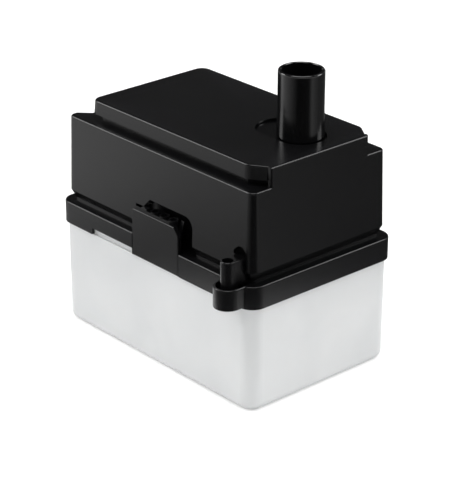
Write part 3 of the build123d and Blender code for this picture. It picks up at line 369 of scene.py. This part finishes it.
@dataclass(frozen=True)
class DrawnMetal(Finish):
    """Rolled, drawn or plated metal. Fine scratches along the piece break up its shine.

    Attributes:
        scratch_mm: width of a scratch.
        scratch_stretch: width of a scratch over its length.
        stain_mm: size of one patch of staining.
        tint: sRGB hex of the staining.
    """

    metal: bool = True
    rough_spread: float = 0.08
    scratch_mm: float = 0.3
    scratch_stretch: float = 0.08
    stain_mm: float = 5.0
    tint: str = "#9c9ea2"

    def dress(self, tree: bpy.types.NodeTree, shader: bpy.types.Node, place: bpy.types.NodeSocket) -> None:
        """Adds drawn-out scratches and slow staining.

        Args:
            tree: the material's tree.
            shader: its principled shader.
            place: coordinates in metres on the object.
        """
        drawn = add_node(tree, "ShaderNodeMapping", {"Scale": (1.0, 1.0, self.scratch_stretch)},
                         {"Vector": place})
        # Real drawing lines are near 0.02 mm wide; they are drawn at scratch_mm so that they show at all.
        scratch = add_node(tree, "ShaderNodeTexNoise",
                           {"Scale": grain_scale(self.scratch_mm), "Detail": 5.0},
                           {"Vector": drawn.outputs["Vector"]})
        stain = add_node(tree, "ShaderNodeTexNoise", {"Scale": grain_scale(self.stain_mm)}, {"Vector": place})
        tree.links.new(self.mix_colour(tree, stain.outputs["Fac"], self.base, self.tint),
                       shader.inputs["Base Color"])
        self.link_bump(tree, shader, scratch.outputs["Fac"], self.grain_depth_mm)
        self.vary_rough(tree, shader, scratch.outputs["Fac"])


@dataclass(frozen=True)
class WrappedTape(Finish):
    """Polyester tape over a winding. Overlaps make a step every few millimetres.

    Attributes:
        lap_mm: distance between the overlaps.
        lap_step_mm: height of an overlap.
        edge: sRGB hex of the tape's doubled edge.
    """

    lap_mm: float = 5.0
    lap_step_mm: float = 0.12
    edge: str = "#b8912c"

    def dress(self, tree: bpy.types.NodeTree, shader: bpy.types.Node, place: bpy.types.NodeSocket) -> None:
        """Adds the lapped edges.

        Args:
            tree: the material's tree.
            shader: its principled shader.
            place: coordinates in metres on the object.
        """
        split = add_node(tree, "ShaderNodeSeparateXYZ", {}, {0: place})
        along = add_node(tree, "ShaderNodeCombineXYZ", {}, {"X": split.outputs["Y"]})
        laps = add_node(tree, "ShaderNodeTexWave",
                        {"wave_profile": "SAW", "Scale": wave_scale(self.lap_mm)},
                        {"Vector": along.outputs["Vector"]})
        tree.links.new(self.mix_colour(tree, laps.outputs["Fac"], self.base, self.edge),
                       shader.inputs["Base Color"])
        self.link_bump(tree, shader, laps.outputs["Fac"], self.lap_step_mm)


@dataclass(frozen=True)
class BoardLaminate(Finish):
    """Glass-epoxy board under green solder mask. Copper below it shows as paler tracks.

    Attributes:
        track: sRGB hex of the mask over copper.
        field_mm: width of one copper field, two pins wide.
        track_range: distance in the pattern at which copper starts and at which it is full.
        copper_mm: thickness of the copper.
    """

    track: str = "#2f7a44"
    field_mm: float = 5.08
    track_range: tuple[float, float] = (0.25, 0.35)
    copper_mm: float = 0.035

    def dress(self, tree: bpy.types.NodeTree, shader: bpy.types.Node, place: bpy.types.NodeSocket) -> None:
        """Adds right-angled copper fields under the mask.

        Args:
            tree: the material's tree.
            shader: its principled shader.
            place: coordinates in metres on the object.
        """
        fields = add_node(tree, "ShaderNodeTexVoronoi",
                          {"distance": "CHEBYCHEV", "Scale": 1.0 / (self.field_mm * MM)},
                          {"Vector": place})
        edge = add_node(tree, "ShaderNodeMapRange",
                        {"From Min": self.track_range[0], "From Max": self.track_range[1]},
                        {"Value": fields.outputs["Distance"]})
        tree.links.new(self.mix_colour(tree, edge.outputs["Result"], self.base, self.track),
                       shader.inputs["Base Color"])
        self.link_bump(tree, shader, edge.outputs["Result"], self.copper_mm)


@dataclass(frozen=True)
class CellFoam(Finish):
    """Closed-cell foam skin. Small dimples and a dry, chalky look.

    Attributes:
        cell_mm: width of a cell.
        dimple_mm: depth of a cut cell.
    """

    cell_mm: float = 0.6
    dimple_mm: float = 0.1

    def dress(self, tree: bpy.types.NodeTree, shader: bpy.types.Node, place: bpy.types.NodeSocket) -> None:
        """Adds the dimples of the cut cells.

        Args:
            tree: the material's tree.
            shader: its principled shader.
            place: coordinates in metres on the object.
        """
        cells = add_node(tree, "ShaderNodeTexVoronoi", {"Scale": 1.0 / (self.cell_mm * MM)},
                         {"Vector": place})
        self.link_bump(tree, shader, cells.outputs["Distance"], self.dimple_mm)


class Palette(Enum):
    """Every finish of the pump."""

    # Spark-eroded mould: deep black with a soft, broad shine.
    HOUSING = EngineeringPlastic("black_abs_spark_textured", "#080809", 0.23, grain_mm=0.35,
                                 grain_depth_mm=0.009)
    # Polished mould: deep black with close, clear reflections.
    SPIGOT = EngineeringPlastic("black_abs_polished_mould", "#040405", 0.16, grain_mm=0.6,
                                grain_depth_mm=0.002, specular=0.75, rubbed="#0e0e10")
    # Acetal: black, and a touch waxier than the ABS round it.
    CLIP = EngineeringPlastic("black_acetal_clip", "#0b0b0c", 0.25, grain_mm=0.4, grain_depth_mm=0.006)
    # No pigment: milky white, with light carried inside the wall.
    TANK = MouldedPolypropylene("natural_polypropylene", "#eceded", 0.34, grain_mm=1.2,
                                grain_depth_mm=0.01)
    # Glass fibres near the surface: dark grey and dull.
    PUMP = EngineeringPlastic("glass_filled_polypropylene", "#26282a", 0.5, grain_mm=0.5)
    # Plain acetal: smooth mid grey.
    WHEEL = EngineeringPlastic("grey_acetal_impeller", "#5b5e62", 0.35, rubbed="#6b6e72")
    # Thin nylon blades: warm white with some gloss.
    FAN = Finish("white_nylon_fan", "#d8d7d0", 0.42, 1.53)
    # Undyed nylon: cream.
    BOBBIN = Finish("natural_nylon_bobbin", "#d9d3c2", 0.45, 1.53)
    # Undyed polyamide: ivory with a dull gloss.
    TERMINAL = Finish("ivory_polyamide_terminal", "#cfcdc4", 0.42, 1.53)
    # Nylon from an eroded mould: satin, and a little greyer than the ABS.
    GLAND = EngineeringPlastic("black_nylon_gland", "#141516", 0.4, grain_mm=0.5)
    # Moulded rubber: matt black.
    SEAL = Finish("nitrile_rubber", "#1c1c1c", 0.62, 1.52, grain_mm=0.4)
    # Rubber skin on a core: dark grey and matt.
    BALL = Finish("rubber_coated_ball", "#303032", 0.55, 1.52, grain_mm=0.5)
    # Plating over rolled sheet: pale silver with fine scratches.
    ZINC = DrawnMetal("bright_zinc_plated_steel", "#b9bcc0", 0.32, grain_depth_mm=0.004)
    # Drawn wire and rod: a warmer silver with lengthwise lines.
    STAINLESS = DrawnMetal("stainless_steel_drawn", "#b4b2ae", 0.28, grain_depth_mm=0.003)
    # Ground face: bright, with close reflections.
    GROUND = DrawnMetal("ground_steel_shaft", "#c2c3c5", 0.2, grain_depth_mm=0.002, scratch_mm=0.15)
    # Bare bar: salmon, and browner where the air has stained it.
    COPPER = DrawnMetal("bare_copper_bar", "#c07a52", 0.3, tint="#a8663f", grain_depth_mm=0.003)
    # Pressed powder: brown and dull.
    BRONZE = DrawnMetal("sintered_bronze", "#9c7a48", 0.5, tint="#7d6038", grain_depth_mm=0.01)
    # Cast skin: pale grey with a soft metal shine.
    CAGE = DrawnMetal("die_cast_aluminium", "#b6b7b9", 0.45, grain_depth_mm=0.01)
    # Punched sheets: level lines and a blue-grey bloom.
    STACK = ElectricalSheet("stacked_electrical_steel", "#6c6f74", 0.45, metal=True)
    # Lapped film: glossy yellow with a step at each lap.
    TAPE = WrappedTape("yellow_polyester_tape", "#d8b23c", 0.3, 1.57)
    # Mask over copper: two greens, the paler one over the tracks.
    BOARD = BoardLaminate("green_solder_mask_board", "#1e5a32", 0.32, 1.5)
    # Moulded case: dark blue with a little gloss.
    RELAY = Finish("blue_polyester_case", "#20355f", 0.38, 1.55)
    # Case filled with epoxy: glossy yellow.
    CAPACITOR = Finish("yellow_epoxy_box", "#c9a93c", 0.28, 1.55)
    # Cut foam: chalky cream with dimples.
    FOAM = CellFoam("closed_cell_nitrile_foam", "#c9c5ba", 0.8, 1.5)
    # Fired powder: charcoal with a fine grit.
    FERRITE = Finish("sintered_ferrite", "#2b2b2c", 0.6, 1.6, grain_mm=0.3, grain_depth_mm=0.02)


def dress_node(node: str, finish: Palette) -> None:
    """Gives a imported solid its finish.

    Args:
        node: name of the solid.
        finish: member of the palette.
    """
    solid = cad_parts[node]
    solid.data.materials.clear()
    solid.data.materials.append(finish.value.make())
    LOG.info("%s: %s", node, finish.value.name)


def add_object(name: str, form: bmesh.types.BMesh, material: bpy.types.Material) -> bpy.types.Object:
    """Turns a finished form into an object of the scene.

    Args:
        name: name of the object.
        form: the form, in metres in the shared frame; it is freed.
        material: its material.

    Returns:
        The new object.
    """
    mesh = bpy.data.meshes.new(name)
    form.to_mesh(mesh)
    form.free()
    mesh.materials.append(material)
    added = bpy.data.objects.new(name, mesh)
    bpy.context.scene.collection.objects.link(added)
    LOG.info("%s: made", name)
    return added


def mesh_piece(name: str, form: bmesh.types.BMesh, finish: Palette, body: str) -> None:
    """Turns a finished form into a piece that rides on its body.

    Args:
        name: name of the piece.
        form: the form, in metres in the shared frame; it is freed.
        finish: member of the palette.
        body: body that carries the piece.
    """
    bmesh.ops.recalc_face_normals(form, faces=form.faces)
    piece = add_object(name, form, finish.value.make())
    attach(piece, body)
    LOG.info("%s: rides on %s", name, body)


# ------------------------------------------------------------------ sub-assemblies


@dataclass
class Housing:
    """Tank, chassis, drain chimney, motor cover, lid and the cover's screws."""

    def dress(self) -> None:
        """Gives each moulding its plastic."""
        dress_node("tank", Palette.TANK)
        for node in ("chassis", "drain_chimney", "motor_cover", "top_lid"):
            dress_node(node, Palette.HOUSING)
        dress_node("cover_screws", Palette.ZINC)


@dataclass
class InletPort:
    """Upright drain spigot and its seal."""

    def dress(self) -> None:
        """Gives the spigot its smoother black and the seal its rubber."""
        dress_node("inlet_adaptor", Palette.SPIGOT)
        dress_node("inlet_seal", Palette.SEAL)


@dataclass
class RockerClips:
    """The two clips that hold the tank."""

    def dress(self) -> None:
        """Gives both clips their plastic."""
        for node in ("front_clip", "rear_clip"):
            dress_node(node, Palette.CLIP)


@dataclass
class DriveMotor:
    """Shaded-pole motor with its rotor, brackets and fan."""

    def dress(self) -> None:
        """Gives the motor's pieces their metals and nylons."""
        finishes = {
            "stator_stack": Palette.STACK, "rotor_core": Palette.STACK, "shading_rings": Palette.COPPER,
            "coil_bobbin": Palette.BOBBIN, "coil_winding": Palette.TAPE, "upper_bracket": Palette.ZINC,
            "lower_bracket": Palette.ZINC, "upper_bush": Palette.BRONZE, "lower_bush": Palette.BRONZE,
            "motor_screws": Palette.ZINC, "rotor_end_rings": Palette.CAGE, "motor_shaft": Palette.GROUND,
            "shaft_slinger": Palette.SEAL, "cooling_fan": Palette.FAN,
        }
        for node, finish in finishes.items():
            dress_node(node, finish)


@dataclass
class CentrifugalPump:
    """Impeller pump on the floor of the tank."""

    def dress(self) -> None:
        """Gives the pump's mouldings their filled plastic."""
        for node in ("pump_column", "volute_housing", "strainer_base"):
            dress_node(node, Palette.PUMP)
        dress_node("impeller", Palette.WHEEL)
        dress_node("pump_screws", Palette.STAINLESS)


@dataclass
class DischargeLine:
    """Riser, check valve and the outlet through the rear bay."""

    def dress(self) -> None:
        """Gives the line its plastics and the ball its rubber."""
        for node in ("riser_pipe", "check_valve_body"):
            dress_node(node, Palette.PUMP)
        dress_node("discharge_elbow", Palette.SPIGOT)
        dress_node("check_ball", Palette.BALL)


@dataclass
class LevelSensor:
    """Float, magnet and stem."""

    def dress(self) -> None:
        """Gives the float its foam and the magnet its ferrite."""
        dress_node("float_stem", Palette.PUMP)
        dress_node("level_float", Palette.FOAM)
        dress_node("float_magnet", Palette.FERRITE)
        dress_node("float_stop_ring", Palette.STAINLESS)


@dataclass
class Electrics:
    """Control board, its parts, the terminal block and the cord's gland.

    Attributes:
        gland_y_mm: place of the gland's axis across the rear bay.
        gland_z_mm: height of the gland's axis.
        collar_x_mm: where the fluted cap starts, from the rear wall outwards.
        cap_end_x_mm: outer end of the flutes' full width.
        flutes: number of grip flutes on the gland's cap.
        flute_r_mm: radius at which the flutes stand.
        flute_half_mm: half the width of a flute, and the length of its tip.
        flute_tip: width of a flute's tip over its full width.
        flute_sides: number of flat faces round a flute.
    """

    gland_y_mm: float = -18.0
    gland_z_mm: float = 92.0
    collar_x_mm: float = -71.6
    cap_end_x_mm: float = -78.6
    flutes: int = 16
    flute_r_mm: float = 7.35
    flute_half_mm: float = 0.5
    flute_tip: float = 0.35
    flute_sides: int = 8

    def dress(self) -> None:
        """Gives board, cases and gland their plastics."""
        finishes = {
            "control_board": Palette.BOARD, "relay": Palette.RELAY, "film_capacitor": Palette.CAPACITOR,
            "terminal_block": Palette.TERMINAL, "cable_gland": Palette.GLAND, "gland_nut": Palette.GLAND,
        }
        for node, finish in finishes.items():
            dress_node(node, finish)

    def build_flutes(self) -> None:
        """Small half-round grips round the gland's cap."""
        form = bmesh.new()
        swings = [2 * math.pi * k / self.flute_sides for k in range(self.flute_sides)]
        section = [(self.flute_half_mm * math.cos(swing), self.flute_half_mm * math.sin(swing))
                   for swing in swings]
        tip_x_mm = self.cap_end_x_mm - self.flute_half_mm
        stations = ((self.collar_x_mm, 1.0), (self.cap_end_x_mm, 1.0), (tip_x_mm, self.flute_tip))
        for i in range(self.flutes):
            turn = 2 * math.pi * i / self.flutes
            y = self.gland_y_mm + self.flute_r_mm * math.cos(turn)
            z = self.gland_z_mm + self.flute_r_mm * math.sin(turn)
            ends = []
            for x, width in stations:
                ends.append([form.verts.new(Vector((x, y + a * width, z + b * width)) * MM)
                             for a, b in section])
            for first, second in zip(ends, ends[1:]):
                for k in range(self.flute_sides):
                    after = (k + 1) % self.flute_sides
                    form.faces.new((first[k], first[after], second[after], second[k]))
            form.faces.new(list(reversed(ends[0])))
            form.faces.new(ends[-1])
        mesh_piece("gland_flutes", form, Palette.GLAND, "pump_unit")


# ------------------------------------------------------------------ studio and camera


@dataclass(frozen=True)
class SoftLamp:
    """A rectangular soft lamp that looks at the pump.

    Attributes:
        name: name of the lamp.
        place: position in metres.
        width: width in metres.
        height: height in metres.
        power: watts.
    """

    name: str
    place: tuple[float, float, float]
    width: float
    height: float
    power: float

    def build(self, target: Vector) -> None:
        """Adds the lamp.

        Args:
            target: point in metres that the lamp faces.
        """
        light = bpy.data.lights.new(self.name, "AREA")
        light.shape = "RECTANGLE"
        light.size, light.size_y = self.width, self.height
        light.energy = self.power
        lamp = bpy.data.objects.new(self.name, light)
        lamp.location = self.place
        lamp.rotation_euler = (target - Vector(self.place)).to_track_quat("-Z", "Y").to_euler()
        bpy.context.scene.collection.objects.link(lamp)


def seen_directly(tree: bpy.types.NodeTree) -> bpy.types.NodeSocket:
    """Tells the rays that look at a thing from the light that falls on others.

    Args:
        tree: tree that receives the nodes.

    Returns:
        A socket of 1 for camera, mirrored and refracted rays, and of 0 for all others.
    """
    paths = add_node(tree, "ShaderNodeLightPath")
    eye = add_node(tree, "ShaderNodeMath", {"operation": "MAXIMUM"},
                   {0: paths.outputs["Is Camera Ray"], 1: paths.outputs["Is Transmission Ray"]})
    either = add_node(tree, "ShaderNodeMath", {"operation": "MAXIMUM"},
                      {0: eye.outputs["Value"], 1: paths.outputs["Is Glossy Ray"]})
    return either.outputs["Value"]


@dataclass
class Studio:
    """Pale floor, room light with a painted reflection, and soft lamps.

    Attributes:
        floor_half: half side of the floor in metres.
        floor_hex: colour of the floor.
        floor_rough: roughness of its paper.
        floor_sheen: strength of its reflection.
        floor_lift: what makes the lit paper white to the eye and in mirrors.
        world_hex: colour of the room's light.
        world_strength: strength of the room's light.
        painted_reflection_top: how bright mirrored rays find the upper part of the room, a painted
            reflection, where the horizon is 1; the room's light itself stays even.
        painted_reflection_rise: height, as a part of 1 straight up, from which mirrored rays find the room
            so.
        lamps: the soft lamps.
        lamp_target: point in metres that the lamps face.
    """

    floor_half: float = 6.0
    floor_hex: str = "#ededed"
    floor_rough: float = 0.9
    floor_sheen: float = 0.1
    floor_lift: float = 0.28
    world_hex: str = "#ffffff"
    world_strength: float = 0.5
    painted_reflection_top: float = 0.03
    painted_reflection_rise: float = 0.2
    lamps: tuple[SoftLamp, ...] = (
        SoftLamp("left_softbox", (-0.95, -0.60, 0.85), 0.5, 1.2, 9.0),
        SoftLamp("right_rear_softbox", (0.60, 0.95, 0.95), 0.5, 1.1, 9.0),
        SoftLamp("overhead_softbox", (0.1, -0.1, 1.5), 1.0, 1.0, 8.0))
    lamp_target: tuple[float, float, float] = (0.0, 0.0, 0.07)

    def floor_paper(self) -> bpy.types.Material:
        """Builds the matt paper of the floor.

        Returns:
            The material.
        """
        made = bpy.data.materials.new("matt_white_paper_sweep")
        made.use_nodes = True
        tree = made.node_tree
        shader = find_node(tree, "BSDF_PRINCIPLED")
        shader.inputs["Base Color"].default_value = linear(self.floor_hex)
        shader.inputs["Roughness"].default_value = self.floor_rough
        shader.inputs["Specular IOR Level"].default_value = self.floor_sheen
        output = find_node(tree, "OUTPUT_MATERIAL")
        lift = add_node(tree, "ShaderNodeMath", {"operation": "MULTIPLY", 1: self.floor_lift},
                        {0: seen_directly(tree)})
        glow = add_node(tree, "ShaderNodeEmission", {"Color": (1.0, 1.0, 1.0, 1.0)},
                        {"Strength": lift.outputs["Value"]})
        total = add_node(tree, "ShaderNodeAddShader", {}, {0: shader.outputs[0], 1: glow.outputs[0]})
        tree.links.new(total.outputs[0], output.inputs["Surface"])
        return made

    def build_floor(self) -> None:
        """A large pale floor; where the camera looks at it unshaded, it is white."""
        form = bmesh.new()
        half = self.floor_half
        outline = ((-half, -half), (half, -half), (half, half), (-half, half))
        form.faces.new([form.verts.new((x, y, 0.0)) for x, y in outline])
        floor = add_object("studio_floor", form, self.floor_paper())

    def build_world(self) -> None:
        """Even room light; the camera sees white, and mirrored rays see a painted reflection that darkens
        upwards, though the light the room casts stays even.
        """
        world = bpy.data.worlds.new("studio_room")
        world.use_nodes = True
        tree = world.node_tree
        base = find_node(tree, "BACKGROUND")
        base.inputs["Color"].default_value = linear(self.world_hex)
        base.inputs["Strength"].default_value = self.world_strength
        output = find_node(tree, "OUTPUT_WORLD")
        way = add_node(tree, "ShaderNodeTexCoord").outputs["Generated"]
        height = add_node(tree, "ShaderNodeSeparateXYZ", {}, {0: way}).outputs["Z"]
        # Painted reflection: only camera, mirrored and refracted rays see the room darken upwards; the light
        # it casts stays even.
        fade = add_node(tree, "ShaderNodeMapRange",
                        {"From Min": 0.0, "From Max": self.painted_reflection_rise, "To Min": 1.0,
                         "To Max": self.painted_reflection_top},
                        {"Value": height})
        paths = add_node(tree, "ShaderNodeLightPath")
        bright = add_node(tree, "ShaderNodeMath", {"operation": "MAXIMUM"},
                          {0: fade.outputs["Result"], 1: paths.outputs["Is Camera Ray"]})
        sweep = add_node(tree, "ShaderNodeBackground", {"Color": (1.0, 1.0, 1.0, 1.0)},
                         {"Strength": bright.outputs["Value"]})
        mixed = add_node(tree, "ShaderNodeMixShader", {},
                         {0: seen_directly(tree), 1: base.outputs[0], 2: sweep.outputs[0]})
        tree.links.new(mixed.outputs[0], output.inputs["Surface"])
        bpy.context.scene.world = world
        LOG.info("studio_room: made")

    def build_lamps(self) -> None:
        """A tall soft lamp at the left front, one at the right rear and one overhead."""
        for lamp in self.lamps:
            lamp.build(Vector(self.lamp_target))
            LOG.info("%s: made", lamp.name)


@dataclass
class PaintedReflection:
    """A painted reflection: a glowing flat ring round the sweep, low down, that only mirrored rays find. It
    stands for a dark room, carries a painted shadow of the pump and lights nothing.

    Attributes:
        stops: bearings in degrees from +X and how bright the painted reflection is there.
        rings: for the inner and outer edge, how far its centre lies along X and its radius, in
            metres; inside the inner one the white sweep is mirrored.
        fade: distances in metres between which the painted shadow of the pump in the reflection gives way.
        shade: how bright that painted shadow is, where 1 is unshaded.
        rise: height over the sweep in metres.
        steps: number of straight pieces in the round edges.
    """

    stops: tuple[tuple[float, float], ...] = (
        (-180.0, 0.3), (-147.0, 1.0), (-128.0, 0.6), (-85.0, 0.25), (-55.0, 0.02), (-4.0, 0.03), (10.0, 0.4),
        (24.0, 0.26), (42.0, 0.14), (80.0, 0.07), (180.0, 0.3))
    rings: tuple[tuple[float, float], ...] = ((0.02, 0.145), (0.0, 5.5))
    fade: tuple[float, float] = (0.15, 0.31)
    shade: float = 0.4
    rise: float = 0.002
    steps: int = 48

    def glow(self) -> bpy.types.Material:
        """Builds the painted reflection's brightness by bearing, with a painted shadow of the pump by
        distance.

        Returns:
            The material.
        """
        made = bpy.data.materials.new("painted_reflection_low_down")
        made.use_nodes = True
        tree = made.node_tree
        tree.nodes.clear()
        place = add_node(tree, "ShaderNodeTexCoord").outputs["Object"]
        # Painted reflection: brightness by bearing stands for softboxes and a dark room as mirrored rays see
        # them.
        turn = add_node(tree, "ShaderNodeTexGradient", {"gradient_type": "RADIAL"}, {"Vector": place})
        ramp = add_node(tree, "ShaderNodeValToRGB", {}, {"Fac": turn.outputs["Fac"]})
        marks = ramp.color_ramp.elements
        while len(marks) < len(self.stops):
            marks.new(1.0)
        for mark, (degrees, bright) in zip(marks, self.stops):
            mark.position = (degrees + 180.0) / 360.0
            mark.color = (bright, bright, bright, 1.0)
        # Painted shadow of the pump: the reflection is darker near the pump.
        distance = add_node(tree, "ShaderNodeVectorMath", {"operation": "LENGTH"}, {0: place})
        near, far = self.fade
        unshaded = add_node(tree, "ShaderNodeMapRange",
                            {"From Min": near, "From Max": far, "To Min": self.shade},
                            {"Value": distance.outputs["Value"]})
        light = add_node(tree, "ShaderNodeEmission", {},
                         {"Color": ramp.outputs["Color"], "Strength": unshaded.outputs["Result"]})
        add_node(tree, "ShaderNodeOutputMaterial", {}, {"Surface": light.outputs[0]})
        return made

    def build(self) -> None:
        """Adds the flat glowing ring that carries the painted reflection; it lights nothing."""
        form = bmesh.new()
        turns = [2 * math.pi * i / self.steps for i in range(self.steps)]
        edges = []
        for shift, radius in self.rings:
            spots = [(shift + radius * math.cos(turn), radius * math.sin(turn)) for turn in turns]
            edges.append([form.verts.new((x, y, self.rise)) for x, y in spots])
        inner, outer = edges
        for i in range(self.steps):
            k = (i + 1) % self.steps
            form.faces.new((inner[i], outer[i], outer[k], inner[k]))
        # Painted reflection: a glowing ring that only mirrored rays see; it casts no light and no shadow.
        room = add_object("painted_reflection_ring", form, self.glow())
        room.visible_camera = False
        room.visible_diffuse = False
        room.visible_shadow = False
        room.visible_transmission = False


@dataclass
class ViewCamera:
    """Camera at the viewing angle.

    Attributes:
        place: position in metres.
        target: point in metres that it faces.
        lens_mm: focal length.
        sensor_mm: width of the sensor.
        reach: nearest and farthest distance in metres that it sees.
        roll_degrees: small turn about the line of sight.
    """

    place: tuple[float, float, float] = (0.71321, -0.63009, 0.48493)
    target: tuple[float, float, float] = (0.0474, -0.0400, 0.0836)
    lens_mm: float = 158.2
    sensor_mm: float = 36.0
    reach: tuple[float, float] = (0.01, 50.0)
    roll_degrees: float = 0.1

    def build(self) -> None:
        """Adds the camera and makes it the scene's."""
        data = bpy.data.cameras.new("studio_camera")
        data.lens = self.lens_mm
        data.sensor_width = self.sensor_mm
        data.sensor_fit = "HORIZONTAL"
        data.clip_start, data.clip_end = self.reach
        camera = bpy.data.objects.new("studio_camera", data)
        eye, target = Vector(self.place), Vector(self.target)
        turn = (target - eye).to_track_quat("-Z", "Y").to_matrix().to_4x4()
        roll = Matrix.Rotation(math.radians(self.roll_degrees), 4, "Z")
        camera.matrix_world = Matrix.Translation(eye) @ turn @ roll
        bpy.context.scene.collection.objects.link(camera)
        bpy.context.scene.camera = camera
        LOG.info("studio_camera: made")


def main() -> None:
    """Dresses the pump, adds its fine parts, then sets the studio and the camera."""
    logging.basicConfig(level=logging.INFO, format="%(name)s: %(message)s")
    bpy.context.scene.view_settings.view_transform = "Standard"
    electrics = Electrics()
    for assembly in (Housing(), InletPort(), RockerClips(), DriveMotor(), CentrifugalPump(),
                     DischargeLine(), LevelSensor(), electrics):
        assembly.dress()
    electrics.build_flutes()
    studio = Studio()
    studio.build_floor()
    studio.build_world()
    PaintedReflection().build()
    studio.build_lamps()
    ViewCamera().build()


if __name__ == "__main__":
    main()
